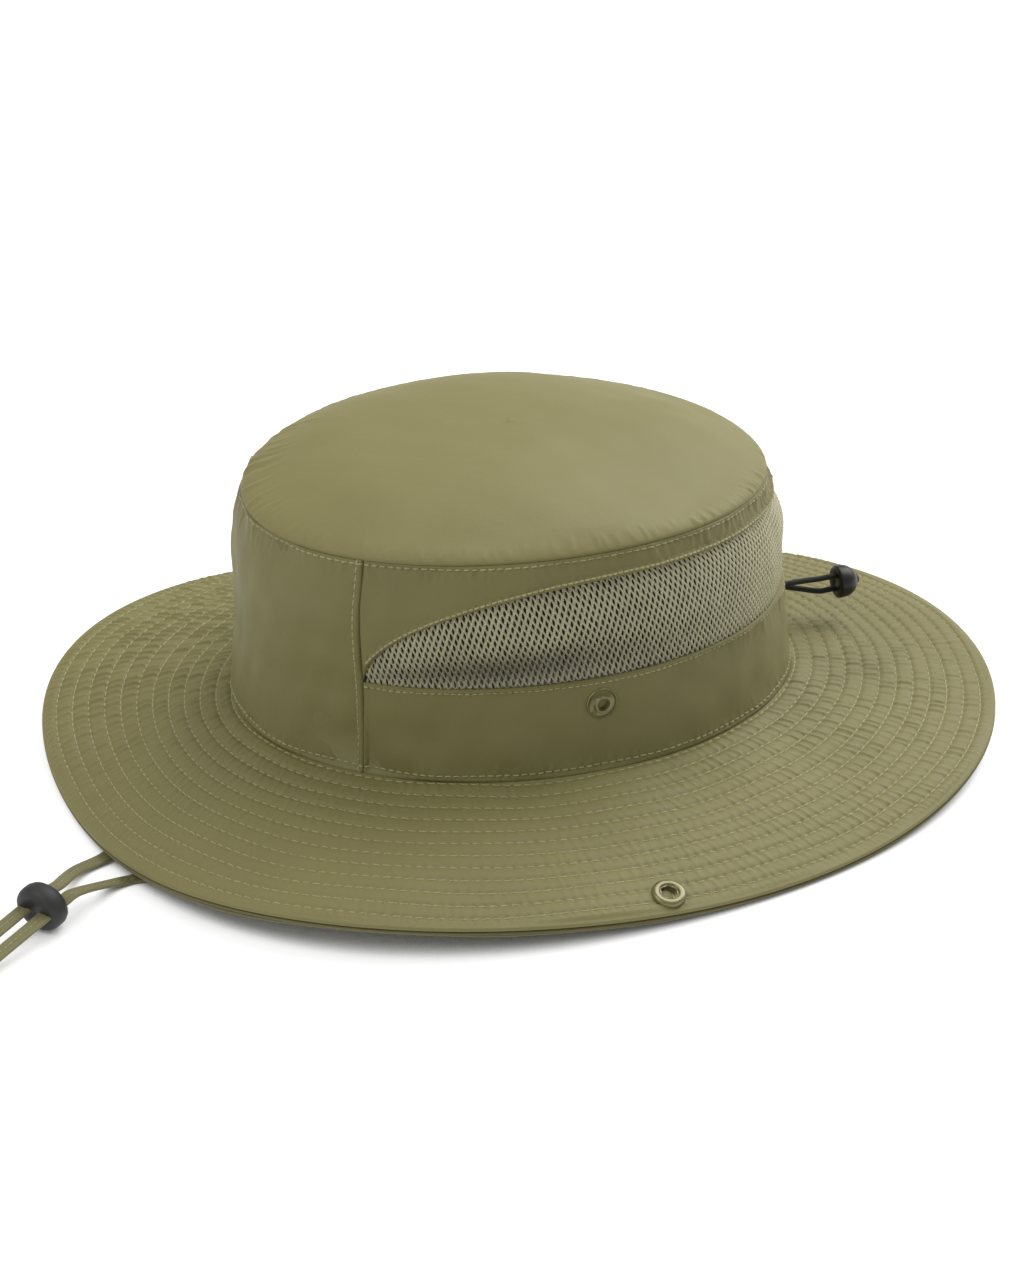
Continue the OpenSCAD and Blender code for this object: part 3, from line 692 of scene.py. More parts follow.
def brim_relief(p, d, seed, gather, puff=0.34):
    """Height of the sewn cloth over the brim's surface: sunken rows, puffs between, and puckers."""
    rng = np.random.default_rng(seed)
    n, m = d.shape
    w = brim_width(p)[:, None]
    spacing = (w - LAST_ROW - FIRST_ROW) / (ROWS - 1)
    row = (d - FIRST_ROW) / spacing
    nearest = np.clip(np.round(row), 0, ROWS - 1)
    off = (row - nearest) * spacing
    band = np.clip(np.floor(row + 1e-6), 0, ROWS - 1).astype(int)
    pucker, arc = np.zeros((n, m)), np.zeros((n, m))
    places, middle_len = None, 0.0
    for k in range(ROWS):
        line = brim_point(p, ((FIRST_ROW + k * spacing) / w)[:, 0])
        steps = np.linalg.norm(np.diff(line, axis=0, append=line[:1]), axis=1)
        s, length = np.concatenate([[0], steps.cumsum()[:-1]]), steps.sum()
        arc = np.where(nearest == k, (s / length * round(length / BRIM_STITCH))[:, None], arc)
        places = crests(rng, places, length, RIDGE_GAP if k < ROWS - 1 else EDGE_RIDGE_GAP)

        def strength(place, k=k, length=length):
            here = pucker_strength(place / length * 360 - 180)
            return max(0.5 * here, EDGE_PUCKER) if k == ROWS - 1 else here * (0.95 - 0.2 * k / ROWS)
        heights = band_ridges(rng, places, length, strength)
        lean = 0.08 * np.sin(np.radians(p) * 2 + k * 0.4)[:, None] + 0.24
        at = np.mod(s[:, None] - lean * (row - k - 0.5) * spacing, length)
        here = np.interp(at.ravel(), np.arange(len(heights)) * 0.1, heights).reshape(n, m)
        pucker = np.where(band == k, here, pucker)
        places, middle_len = places / length, max(middle_len, length)
    hole = (0.5 + 0.5 * np.cos(TAU * arc)) ** 2
    z = RIDGE_H * gather * pucker * (1 - 0.7 * bell(off, 0.7))
    z += puff * (1 - bell(off, 1.35)) - 0.20 * bell(off, 0.55)
    z -= 0.30 * bell(off, 0.8) * hole
    z += 0.16 * bell(off - 1.5, 0.9) * (0.5 - 0.5 * np.cos(TAU * arc))
    z += 0.34 * waves(rng, middle_len, w.mean(), (n, m), (40, 120))
    z *= ramp(0, 1.2, d)
    z -= 0.2 * (1 - ramp(0, 0.8, d))
    return z


def brim_upper():
    p = full_turn(BRIM_N)
    d = brim_distances(p, BAND_STEPS, INNER_STEPS, OUTER_STEPS)
    w = brim_width(p)
    z = brim_relief(p, d, 11, 1.0)
    z *= 1 - ramp(w[:, None] - 3.4, w[:, None] - EDGE_ROLL, d) * 0.92
    top = brim_point(p[:, None], d / w[:, None])
    up = brim_normal(p[:, None], d / w[:, None])
    top = top + up * z[..., None]
    # turned edge, then the ply's lower face back to the crown
    out = unit(edge_point(p) - base_point(p))
    last_up, last = up[:, -1], top[:, -1]
    turns = np.radians(np.array([25, 50, 75, 100, 130, 165]))
    roll = fan(last, out, last_up, EDGE_ROLL * np.sin(turns), -EDGE_ROLL * (1 - np.cos(turns)))
    under_d = np.linspace(1, 0, HIDDEN_STEPS)[None, :] * (w[:, None] - 3) - TUCK
    return top, up, np.concatenate([top, roll, below_brim(p, under_d, CLOTH_T + 0.5)], 1)


def below_brim(p, d, depth):
    """Points under the brim's surface, at distances from the crown seam for each angle."""
    r = d / brim_width(p)[:, None]
    return brim_point(p[:, None], r) - brim_normal(p[:, None], r) * depth


def brim_ring(name, grid, material, stands_for, flip=False):
    """A ring of closed sections round the brim, as one piece for each of its bodies."""
    brim_pieces(name, grid.reshape(-1, 3), loft(grid, True, flip=flip), material, stands_for,
                grid_uv(grid), grid_normals(grid, flip))


def brim_rows(name, top, up, band_steps, inner_steps, radius):
    """The threads of every stitch row, on the sewn cloth."""
    lines = [inner_steps + k * band_steps for k in range(ROWS)]
    co, faces = join([stitch_run(top[:, j], up[:, j], BRIM_STITCH, radius, True) for j in lines])
    brim_pieces(name, co, faces, THREAD)


def make_brim():
    top, up, grid = brim_upper()
    brim_ring("brim_top", grid, BRIM_CLOTH, "brim_top", flip=True)
    brim_rows("brim_stitches", top, up, BAND_STEPS, INNER_STEPS, 0.23)

    # interlining, a plain stiff ply between the two cloths
    p = full_turn(800)
    d = mix(0.8, brim_width(p)[:, None] - 3.2, np.linspace(0, 1, HIDDEN_STEPS)[None, :])
    grid = np.concatenate([below_brim(p, d, INTERLINING_TOP), below_brim(p, d, INTERLINING_LOW)[:, ::-1]], 1)
    brim_ring("brim_interlining", grid, INTERLINING, "brim_stiffener", flip=True)

    # under ply, sewn through the same rows
    p = full_turn(1000)
    w = brim_width(p)
    d = brim_distances(p, UNDER_STEPS, UNDER_INNER, 6)
    z = brim_relief(p, d, 23, 0.55, puff=0.25)
    n = brim_normal(p[:, None], d / w[:, None])
    low = brim_point(p[:, None], d / w[:, None]) - n * (UNDER_LOW + z * 0.8)[..., None]
    out = unit(edge_point(p) - base_point(p))
    low -= n * 1.1 * ramp(w[:, None] - 6, w[:, None] - 1, d)[..., None]
    low += out[:, None] * 0.45 * ramp(w[:, None] - 4, w[:, None], d)[..., None]
    turns = np.radians(np.array([30, 60, 90, 125, 165]))
    r = 0.55
    roll = fan(low[:, -1], out, n[:, -1], r * np.sin(turns), r * (1 - np.cos(turns)))
    in_d = np.linspace(1, 0, HIDDEN_STEPS)[None, :] * (w[:, None] - 3) + 0.3
    grid = np.concatenate([low, roll, below_brim(p, in_d, UNDER_TOP)], 1)
    brim_ring("brim_under", grid, UNDER_CLOTH, "brim_under")
    brim_rows("brim_under_stitches", low, -n, UNDER_STEPS, UNDER_INNER, 0.21)

    # the turned band between the plies at the edge
    p = full_turn(1400)
    n = brim_normal(p, 1.0 + 0 * p)
    out = unit(edge_point(p) - base_point(p))
    turns = np.linspace(0, TAU, 14, endpoint=False)
    half_w, half_h = 1.15, 0.52
    grid = fan(edge_point(p) - n * BAND_DEPTH - out * 0.75, out, n,
               half_w * np.cos(turns), half_h * np.sin(turns))
    brim_ring("brim_binding", grid, EDGE_CLOTH, "brim_binding")


# ---- Crown

CROWN_ROUND, CROWN_TALL = 614.0, 84.0           # size of the wall that the field covers
WALL_T = 1.35                   # depth of the panels' inner face
BRIM_ROW, TOP_ROW, FRONT_ROW = 2.4, 1.8, 2.3    # stitch rows, from the brim, top and front seams


def crown_field():
    rng = np.random.default_rng(5)
    shape = (2048, 256)
    field = 0.6 * waves(rng, CROWN_ROUND, CROWN_TALL, shape, (34, 90))
    field += 0.2 * waves(rng, CROWN_ROUND, CROWN_TALL, shape, (14, 30))
    folds = []

    def place(a):
        return (a + 180) / 360 * CROWN_ROUND
    for _ in range(330):                            # along the top seam
        a = rng.uniform(-180, 180)
        front = bell(angle_gap(a, -122), 34) + bell(angle_gap(a, 150), 30)
        back = bell(angle_gap(a, 62), 36)
        half = rng.uniform(3, 7) + front * rng.uniform(3, 18)
        folds.append((place(a), CROWN_TALL - 2, half, rng.uniform(0.9, 1.5) + 0.7 * front,
                      rng.normal(0, 0.12), rng.uniform(0.25, 0.75) * (0.45 + front + 0.7 * back)))
    for _ in range(240):                            # along the brim seam
        a = rng.uniform(-180, 180)
        folds.append((place(a), 2.5, rng.uniform(2.5, 6), rng.uniform(0.8, 1.4), rng.normal(0, 0.2),
                      rng.uniform(0.12, 0.36)))
    for _ in range(150):                            # under and over the mesh, mostly to the back
        a = rng.choice([-1, 1]) * 90 + 90 - rng.uniform(-55, 140)
        back = 0.3 + bell(angle_gap(a, 90), 50)
        side = rng.choice([0, 1])
        v = MESH_LOW - 0.03 if side else 0.9
        folds.append((place((a + 180) % 360 - 180), v * CROWN_TALL, rng.uniform(4, 10) * (0.6 + 0.5 * back),
                      rng.uniform(1.0, 1.7), rng.normal(0, 0.25), rng.uniform(0.2, 0.55) * back))
    return add_folds(field, CROWN_ROUND, CROWN_TALL, folds)


CROWN_FIELD = crown_field()


def seam_profile(dist, ridge, stitch, hole, drop):
    """Height over the panel at a distance from its sewn edge: turned edge, ridge, pricked groove."""
    raised = ridge * ramp(0, 0.7, dist) * (1 - ramp(stitch - 0.2, stitch + 0.9, dist))
    return -drop * bell(dist, 0.42) + raised - (0.2 + 0.4 * hole) * bell(dist - stitch, 0.5)


def row_shares(n):
    """Shares of a panel's height, closer together near its edges."""
    t = np.linspace(0, 1, n)
    return mix(t, 0.5 - 0.5 * np.cos(np.pi * t), 0.65)


def panel_grid(angles, low, high, rows, edges, mirrored):
    """Closed sections of a side panel. edges gives (ridge, stitch) for bottom, top, start and end."""
    t = row_shares(rows)[None, :]
    p = angles[:, None]
    lo, hi = low(angles)[:, None], high(angles)[:, None]
    v = mix(lo, hi, t)
    tall = seam_z(p)
    real = 180 - p if mirrored else p
    # distances to the edges, across a sloping edge
    run = np.gradient(np.radians(angles)) * ROUND_R
    slope_lo = np.gradient(low(angles) * seam_z(angles)) / run
    slope_hi = np.gradient(high(angles) * seam_z(angles)) / run
    from_lo = (v - lo) * tall / np.sqrt(1 + slope_lo[:, None] ** 2)
    from_hi = (hi - v) * tall / np.sqrt(1 + slope_hi[:, None] ** 2)
    here = side_point(angles, 0.4 + 0 * angles)
    s = distances(here)[:, None]
    h = sample(CROWN_FIELD, real, v)
    side_len = s[-1, 0]
    sides = ((from_lo, 0.3), (from_hi, 0.6), (s + 0 * v, 0.45), (side_len - s + 0 * v, 0.45))
    for k, ((ridge, stitch), (dist, drop)) in enumerate(zip(edges, sides)):
        share, length = (s / side_len + 0 * v, side_len) if k < 2 else (v, SEAM_H)
        hole = (0.5 + 0.5 * np.cos(TAU * share * round(length / CROWN_STITCH))) ** 2
        h = h * ramp(-0.5, 2.5, dist) + seam_profile(dist, ridge, stitch, hole, drop)
    outer = side_point(p, v) + side_normal(p, v) * h[..., None]
    inner = side_point(p, mix(lo, hi, np.linspace(1, 0, 7)[None, :]), WALL_T)
    return outer, np.concatenate([outer, inner], 1)


def on_panel(outer, angles, low, high, p, v):
    """Points of the finished outer face nearest the given angles and height shares."""
    lo, hi = low(p), high(p)
    n = outer.shape[1]
    share = np.clip((v - lo) / np.maximum(hi - lo, 1e-6), 0, 1)
    j = np.interp(share, row_shares(n), np.arange(n))
    i = np.interp(p, angles, np.arange(len(angles)))
    i0, j0 = np.minimum(i.astype(int), len(angles) - 2), np.minimum(j.astype(int), n - 2)
    return between(outer, i0, i0 + 1, j0, (i - i0)[:, None], (j - j0)[:, None])


def mirror(co, mirrored):
    return co * np.array([-1.0, 1, 1]) if mirrored else co


def const(value):
    return lambda p: value + 0 * p


BASE_V, TOP_V = -0.45 / SEAM_H, 1 - 0.25 / SEAM_H
SEAM_GAP = 0.03                 # degrees


def crown_row(panel, p, v, pitch=CROWN_STITCH, radius=0.26, length=0.8):
    """The threads of a row on a panel, at angles and shares of the height."""
    p, v = p + 0 * v, v + 0 * p
    return stitch_run(on_panel(*panel, p, v), side_normal(p, v), pitch, radius, False, length)


def crown_panel(name, node, angles, low, high, rows, edges, mirrored=False):
    """A piece of the crown's wall. Returns what a row of stitches on it needs."""
    outer, grid = panel_grid(angles, low, high, rows, edges, mirrored)
    piece = sheet(name, mirror(grid, mirrored), CROWN_CLOTH, ring=False, flip=mirrored)
    add(piece, "crown", "crown_cloth", node)
    return outer, angles, low, high


def thread_piece(name, runs, mirrored=False, body="crown", material=CROWN_THREAD, slot="crown_cloth"):
    co, faces = join(runs)
    if mirrored:
        faces = [f[:, ::-1] for f in faces]
    return add(build(name, mirror(co, mirrored), faces, material), body, slot)


def make_sides():
    plain = (0.0, -4.0)                             # an edge with no row of its own
    base, top = const(BASE_V), const(TOP_V)
    # front panel, from seam to seam round the front
    a = np.linspace(-180 - SEAM_ANGLE + SEAM_GAP, SEAM_ANGLE - SEAM_GAP, 290)
    edges = [(0.25, BRIM_ROW), (0.3, TOP_ROW), (0.42, FRONT_ROW), (0.42, FRONT_ROW)]
    panel = crown_panel("crown_front", "crown_front_panel", a, base, top, 160, edges)
    round_it = np.linspace(a[0], a[-1], 500)
    runs = [crown_row(panel, round_it, v) for v in (BRIM_ROW / SEAM_H, 1 - TOP_ROW / SEAM_H)]
    off = np.degrees(FRONT_ROW / ROUND_R)
    runs += [crown_row(panel, end, np.linspace(BASE_V, TOP_V, 200)) for end in (a[0] + off, a[-1] - off)]
    thread_piece("crown_front_stitches", runs)

    t = np.linspace(0, 1, 440)
    a = mix(SEAM_ANGLE + SEAM_GAP, 90 - SEAM_GAP, mix(t, t ** 2.2, 0.55))
    round_it = np.linspace(a[0], a[-1], 700)
    for side, mirrored in (("left", False), ("right", True)):
        edges = [(0.75, 1.7), (0.3, TOP_ROW), plain, plain]
        panel = crown_panel("crown_upper_side_" + side, "upper_side_panel_" + side, a,
                            lambda p: mesh_top(p) + 0.001, top, 70, edges, mirrored)
        runs = [crown_row(panel, round_it, 1 - TOP_ROW / SEAM_H)]
        # the row along the mesh's sloping edge, closer and thicker
        p = mix(a[0], a[-1], np.linspace(0, 1, 900) ** 1.8)
        run = np.maximum(np.gradient(np.radians(p)) * ROUND_R, 1e-6)
        slope = np.gradient(mesh_top(p) * seam_z(p)) / run
        v = mesh_top(p) + 1.35 / SEAM_H * np.minimum(np.sqrt(1 + slope ** 2), 6)
        keep = (v < 0.985) & (p > a[0] + 1.2)
        runs.append(crown_row(panel, p[keep], v[keep], 2.2, 0.34, 0.9))
        edges = [(0.25, BRIM_ROW), (0.4, 1.5), plain, plain]
        panel = crown_panel("crown_lower_side_" + side, "lower_side_panel_" + side, a,
                            base, const(MESH_LOW - 0.001), 90, edges, mirrored)
        runs.append(crown_row(panel, round_it, BRIM_ROW / SEAM_H, CROWN_STITCH, 0.25))
        runs.append(crown_row(panel, round_it, (MESH_LOW * SEAM_H - 1.5) / SEAM_H, 2.6, 0.25))
        thread_piece("crown_side_stitches_" + side, runs, mirrored)
        make_mesh_vent(side, mirrored)


def make_mesh_vent(side, mirrored):
    """Open knit: long slanted holes in a staggered pattern, with rounded strands between them."""
    one, two = np.array([2.32, 0.25]), np.array([0.71, 2.27])       # the knit's repeat, (round, up)
    length = ROUND_R * math.radians(90 - SEAM_ANGLE)
    rng = np.random.default_rng(31)
    k = 12
    ring = np.arange(k) * TAU / k
    # a diamond cell, its sides shared with its neighbours; one set of strands lies on top
    right, top = one / 2, two - one / 2
    cell = np.array([mix(right, top, f) for f in (0, 1 / 3, 2 / 3)]
                    + [mix(top, -right, f) for f in (0, 1 / 3, 2 / 3)])
    cell = np.concatenate([cell, -cell])
    cell_x, cell_y = cell[:, 0], cell[:, 1]
    raised = np.array([0.16, 0.46, 0.46, 0.16, -0.1, -0.1] * 2)
    hole_x = mix(0.42 * cell_x, 0.38 * np.cos(ring) + 0.56 * top[0] * np.sin(ring), 0.5)
    hole_y = mix(0.64 * cell_y, 0.58 * top[1] * np.sin(ring), 0.5)
    centres = []
    for r in range(-14, int((MESH_HIGH - MESH_LOW) * SEAM_H / two[1]) + 6):
        for c in range(-12, int(length / one[0]) + 4):
            s, t = one * c + two * r
            p = SEAM_ANGLE + math.degrees(s / ROUND_R)
            v = MESH_LOW + t / SEAM_H
            if p > 90 or p < SEAM_ANGLE + 0.6:
                continue
            edge = float(mesh_top(np.array([p + 1.3]))[0]) + 1.9 / SEAM_H
            if v < MESH_LOW - 2.0 / SEAM_H or v > edge:
                continue
            centres.append((s, t))
    centres = np.array(centres)
    size = rng.normal(1, 0.06, (len(centres), 1))
    lean = rng.normal(0, 0.04, (len(centres), 1))

    def place(x, y, height):
        s = centres[:, :1] + x
        t = centres[:, 1:] + y
        p = SEAM_ANGLE + np.degrees(s / ROUND_R)
        v = MESH_LOW + t / SEAM_H
        share = np.clip((v - MESH_LOW) / np.maximum(mesh_top(p) - MESH_LOW, 0.02), 0, 1)
        bulge = 0.9 * np.sin(np.pi * share) ** 0.8 * ramp(-47, -20, p)
        hollow = -1.5 * bell(share - 0.2, 0.2) * bell(p + 12, 26) - 0.7 * bell(share - 1.02, 0.06)
        pleat = (0.55 * ramp(35, 75, p) * np.sin(np.radians(p) * 34 + 2.2 * share)
                 + 0.35 * ramp(20, 60, p) * np.sin(np.radians(p) * 13 + 5 * share))
        h = -1.05 + bulge + hollow + pleat * np.sin(np.pi * share) + height
        return side_point(p, v) + side_normal(p, v) * h[..., None]
    wob = rng.normal(0, 0.03, (len(centres), k))
    hx = hole_x * size * (1 + wob) + lean * hole_y * size
    hy = hole_y * size * (1 + wob)
    mx, my = mix(cell_x[None], hx, 0.55), mix(cell_y[None], hy, 0.55)
    zero = np.zeros_like(hx)
    layers = [place(cell_x + zero, cell_y + zero, zero + raised), place(mx, my, zero + 0.08 + 0.4 * raised),
              place(hx, hy, zero - 0.12), place(hx, hy, zero - 0.30), place(mx, my, zero - 0.46),
              place(cell_x + zero, cell_y + zero, zero - 0.48)]
    co = np.stack(layers, 1)                        # cell, layer, corner
    n_cells, n_layers = co.shape[:2]
    base = (np.arange(n_cells) * n_layers * k)[:, None, None]
    layer = (np.arange(n_layers - 1) * k)[None, :, None]
    low_a, low_b = base + layer + np.arange(k), base + layer + (np.arange(k) + 1) % k
    quads = np.stack([low_a, low_b, low_b + k, low_a + k], -1).reshape(-1, 4)
    co = co.reshape(-1, 3)
    # neighbours share their cell sides
    key = np.round(co / 0.02).astype(np.int64)
    _, first, back = np.unique(key, axis=0, return_index=True, return_inverse=True)
    co, quads = co[first], back.reshape(-1)[quads]
    v = co[:, 2] / SEAM_H
    p = np.degrees(np.arctan2((co[:, 1] + TOP_SHIFT * v) / mix(BASE_L, TOP_L, v),
                              co[:, 0] / mix(BASE_W, TOP_W, v)))
    v = co[:, 2] / seam_z(p)
    uv = np.stack([p, (v - MESH_LOW) / (mesh_top(p) - MESH_LOW + 0.01)], -1)
    piece = build("mesh_vent_knit_" + side, mirror(co, mirrored), [quads[:, ::-1] if mirrored else quads],
                  KNIT, uv=uv)
    add(piece, "crown", "vent_mesh", "mesh_vent_" + side)


SHOULDER, SHOULDER_R = 1.7, 6.0  # height and breadth of the turn of the top's cloth into its seam


def make_dome():
    n, rings = 1000, 110
    p = full_turn(n)
    r = 1 - np.linspace(0, 1, rings) ** 1.25
    r[-1] = 0.004
    rng = np.random.default_rng(8)
    shape = (1024, 200)
    reach = 90.0                                   # the field runs from the seam to the middle
    field = np.zeros(shape)
    folds = []
    for _ in range(300):
        a = rng.uniform(-180, 180)
        front = bell(angle_gap(a, -125), 38) + bell(angle_gap(a, 150), 30)
        back = bell(angle_gap(a, 60), 40)
        smooth = np.clip(bell(angle_gap(a, 160), 55) + bell(angle_gap(a, 105), 22), 0, 1)
        folds.append(((a + 180) / 360 * 580, 1.0, rng.uniform(3.5, 8) + front * rng.uniform(2, 14),
                      rng.uniform(0.9, 1.6) + 0.7 * front, rng.normal(0, 0.15),
                      rng.uniform(0.2, 0.6) * (0.5 + 0.9 * front + 0.6 * back) * (1 - 0.85 * smooth)))
    add_folds(field, 580.0, reach, folds)
    pp, rr = np.meshgrid(p, r, indexing="ij")
    co = dome_point(pp, rr)
    x, y = co[..., 0], co[..., 1]
    slow = np.zeros_like(x)
    for count, sizes, weight in ((16, (38, 120), 1.0), (10, (16, 34), 0.22)):
        for _ in range(count):
            length, turn = rng.uniform(*sizes), rng.uniform(0, TAU)
            across = x * math.cos(turn) + y * math.sin(turn)
            slow += weight * np.cos(TAU / length * across + rng.uniform(0, TAU))
    far = (1 - rr) * reach
    h = SHOULDER * np.sqrt(1 - np.clip(1 - far / SHOULDER_R, 0, 1) ** 2) * (0.75 + 0.25 * rr)
    h += 0.7 * slow / math.sqrt(8) * ramp(0, 12, far) * (0.6 + 0.8 * bell(angle_gap(pp, 60), 60))
    h += sample(field, pp, (1 - rr)) * ramp(-0.6, 2, far)
    up = unit(np.cross(np.roll(co, -1, 0) - np.roll(co, 1, 0), -np.gradient(co, axis=1)))
    up = np.where(up[..., 2:] < 0, -up, up)
    up[:, -1] = (0, 0, 1)
    h[:, -1] = h[:, -1].mean()
    outer = co + up * h[..., None]
    # the rim meets the sides, rolls over and tucks in
    out = unit(stack(cosd(p) / TOP_W, sind(p) / TOP_L, 0 * p))
    turns = np.radians(np.array([200, 150, 110, 75, 35]))
    radius = 0.3
    outer[:, 0] -= out * 0.25
    rim = fan(outer[:, 0] - up[:, 0] * radius, up[:, 0], out, radius * np.cos(turns),
              radius * 0.9 * np.sin(turns))
    inner_r = np.array([0.02, 0.25, 0.5, 0.7, 0.85, 0.94, 0.985])
    inner = dome_point(p[:, None], inner_r[None]) - np.array([0, 0, 0.9])
    grid = np.concatenate([inner, rim, outer], 1)
    m = grid.shape[1]
    co = grid.reshape(-1, 3)
    middles = [np.arange(n)[None] * m + m - 1, np.arange(n)[None, ::-1] * m]
    piece = build("crown_top", co, loft(grid, True, wrap=False) + middles, DOME_CLOTH, uv=co[:, :2])
    add(piece, "crown", "crown_cloth", "crown_top_panel")


make_brim()
make_sides()
make_dome()

# ---- Swept and turned pieces


def bend(points, steps):
    """A smooth path through a few points."""
    pts = np.asarray(points, float)
    out = []
    for i in range(len(pts) - 1):
        a, b = pts[max(i - 1, 0)], pts[i]
        c, d = pts[i + 1], pts[min(i + 2, len(pts) - 1)]
        for t in np.arange(steps) / steps:
            out.append(0.5 * (2 * b + (c - a) * t + (2 * a - 5 * b + 4 * c - d) * t * t
                              + (3 * b - a - 3 * c + d) * t ** 3))
    out.append(pts[-1])
    return np.array(out)


def sweep(path, section):
    """Sections ([across, up] points) carried along a path. Returns their grid and the path's ups."""
    ahead = unit(np.gradient(path, axis=0))
    across = unit(np.cross(ahead, [0, 0, 1.0]))
    up = np.cross(across, ahead)
    return fan(path, across, up, section[:, 0], section[:, 1]), up


def loft_piece(name, grid, material):
    return build(name, grid.reshape(-1, 3), loft(grid, False), material, uv=grid_uv(grid))


def turned(name, profile, origin, axis, material, n=72, ripple=None):
    """A closed (radius, height) profile turned round an axis through origin."""
    profile = np.asarray(profile, float)
    a = np.arange(n) * TAU / n
    z = Vector(axis).normalized()
    x = z.orthogonal().normalized()
    y = z.cross(x)
    x, y, z = np.array(x), np.array(y), np.array(z)
    r = profile[None, :, 0] + (ripple(a)[:, None] * profile[None, :, 2] if ripple else 0)
    out = (x * np.cos(a)[:, None] + y * np.sin(a)[:, None])[:, None]
    co = np.asarray(origin, float) + out * r[..., None] + z * profile[None, :, 1:2]
    return sheet(name, co, material)


def soften(piece, angle=55):
    """Marks hard corners so that turned metal shades cleanly."""
    piece.data.set_sharp_from_angle(angle=math.radians(angle))
    return piece


MOUNTS = {m["name"]: m for m in frame["record"]["mounts"]}
STUD_FOOT, SOCKET_FOOT = 1.85, 1.8              # from a mount's middle down to its profile's zero


def snap_frame(name, foot):
    """Origin and outward direction of a snap's profile, from its mount."""
    mount = MOUNTS[name]
    axis = np.array(mount["axis"], float)
    return np.array(mount["pos_m"]) / MM - axis * foot, axis


def make_snaps():
    for side in ("left", "right"):
        at, axis = snap_frame("snap_stud_" + side, STUD_FOOT)
        stud = [(0.02, 0.3), (1.7, 0.3), (2.0, 0.5), (2.2, 2.1), (2.4, 2.55), (2.6, 2.72), (2.9, 2.8),
                (3.15, 2.7), (3.25, 2.5), (3.05, 2.3), (2.55, 2.15), (2.5, 1.5), (2.9, 0.8), (3.6, 0.5),
                (4.8, 0.48), (5.1, 0.62), (5.3, 1.0), (5.6, 1.18), (5.88, 1.02), (6.0, 0.6), (5.95, 0.2),
                (5.6, 0.1), (0.02, 0.1)]
        piece = soften(turned("stud_" + side, stud, at, axis, ENAMEL))
        add(piece, "crown", "snap_enamel", "snap_stud_" + side)
        back = [(1.7, 0.75), (2.2, 0.75), (2.25, -0.75), (4.6, -0.8), (5.3, -0.95), (5.5, -1.2), (5.3, -1.5),
                (4.6, -1.62), (2.4, -1.6), (2.0, -1.5), (1.7, -1.2)]
        piece = soften(turned("stud_cap_" + side, back, at, axis, NICKEL))
        add(piece, "crown", "snap_back", "stud_back_" + side)
        at, axis = snap_frame("snap_socket_" + side, SOCKET_FOOT)
        socket = [(2.5, 0.55), (2.5, 0.92), (3.3, 0.96), (3.5, 1.1), (3.5, 2.25), (3.65, 2.55), (4.0, 2.7),
                  (4.9, 2.7), (5.6, 2.52), (6.0, 2.15), (6.22, 1.6), (6.3, 1.0), (6.25, 0.65), (6.0, 0.55)]
        piece = soften(turned("socket_" + side, socket, at, axis, ENAMEL))
        add(piece, "brim_lip_" + side, "snap_enamel", "snap_socket_" + side)
        spring = [(3.0, 1.9, 1), (2.85, 2.05, 1), (3.0, 2.2, 1), (3.55, 2.25, 0), (3.55, 1.85, 0)]
        piece = turned("socket_spring_" + side, spring, at, axis, ENAMEL,
                       ripple=lambda a: 0.22 * squared(np.cos(6 * a), 0.4))
        add(piece, "brim_lip_" + side, "snap_enamel")
        back = [(1.7, 0.45), (2.2, 0.45), (2.25, -2.95), (4.4, -3.0), (5.2, -3.1), (5.5, -3.35), (5.3, -3.65),
                (4.5, -3.8), (2.4, -3.78), (2.0, -3.7), (1.7, -3.4)]
        piece = soften(turned("socket_cap_" + side, back, at, axis, NICKEL))
        add(piece, "brim_lip_" + side, "snap_back", "socket_back_" + side)


make_snaps()

# ---- Drawcord

CORD_Z = 16.0
EYE = side_point(90.0, CORD_Z / seam_z(90.0)) * [0, 1, 1]
BACK_LEAN = math.atan2(BASE_L - TOP_L + TOP_SHIFT, seam_z(90.0))
EYE_AXIS = (0, math.cos(BACK_LEAN), math.sin(BACK_LEAN))
BEAD_LO, BEAD_HI = node_box("drawcord_toggle")
BEAD_R = (BEAD_HI[0] - BEAD_LO[0]) / 2
BEAD_FACE = np.array([0, BEAD_LO[1], (BEAD_LO[2] + BEAD_HI[2]) / 2])
CORD_D, CORD_X, CORD_SPREAD = 2.2, 1.25, 2.7
PIVOT_Y = JOINTS["drawcord_swing"]["pos_m"][1] / MM


def cord(name, path, body, node):
    a = np.arange(12) * TAU / 12
    grid, _ = sweep(path, np.stack([np.cos(a), np.sin(a)], 1) * CORD_D / 2)
    return add(loft_piece(name, grid, CORD), body, "cord", node)


def hollowed(piece, cutters):
    """Cuts holes with throwaway solids and keeps the result as the piece's own mesh."""
    for cutter in cutters:
        m = piece.modifiers.new("hole", "BOOLEAN")
        m.operation, m.solver, m.object = "DIFFERENCE", "EXACT", cutter
        bpy.context.view_layer.update()
        dg = bpy.context.evaluated_depsgraph_get()
        done = bpy.data.meshes.new_from_object(piece.evaluated_get(dg))
        piece.modifiers.clear()
        piece.data = done
        bpy.data.objects.remove(cutter)
    return piece


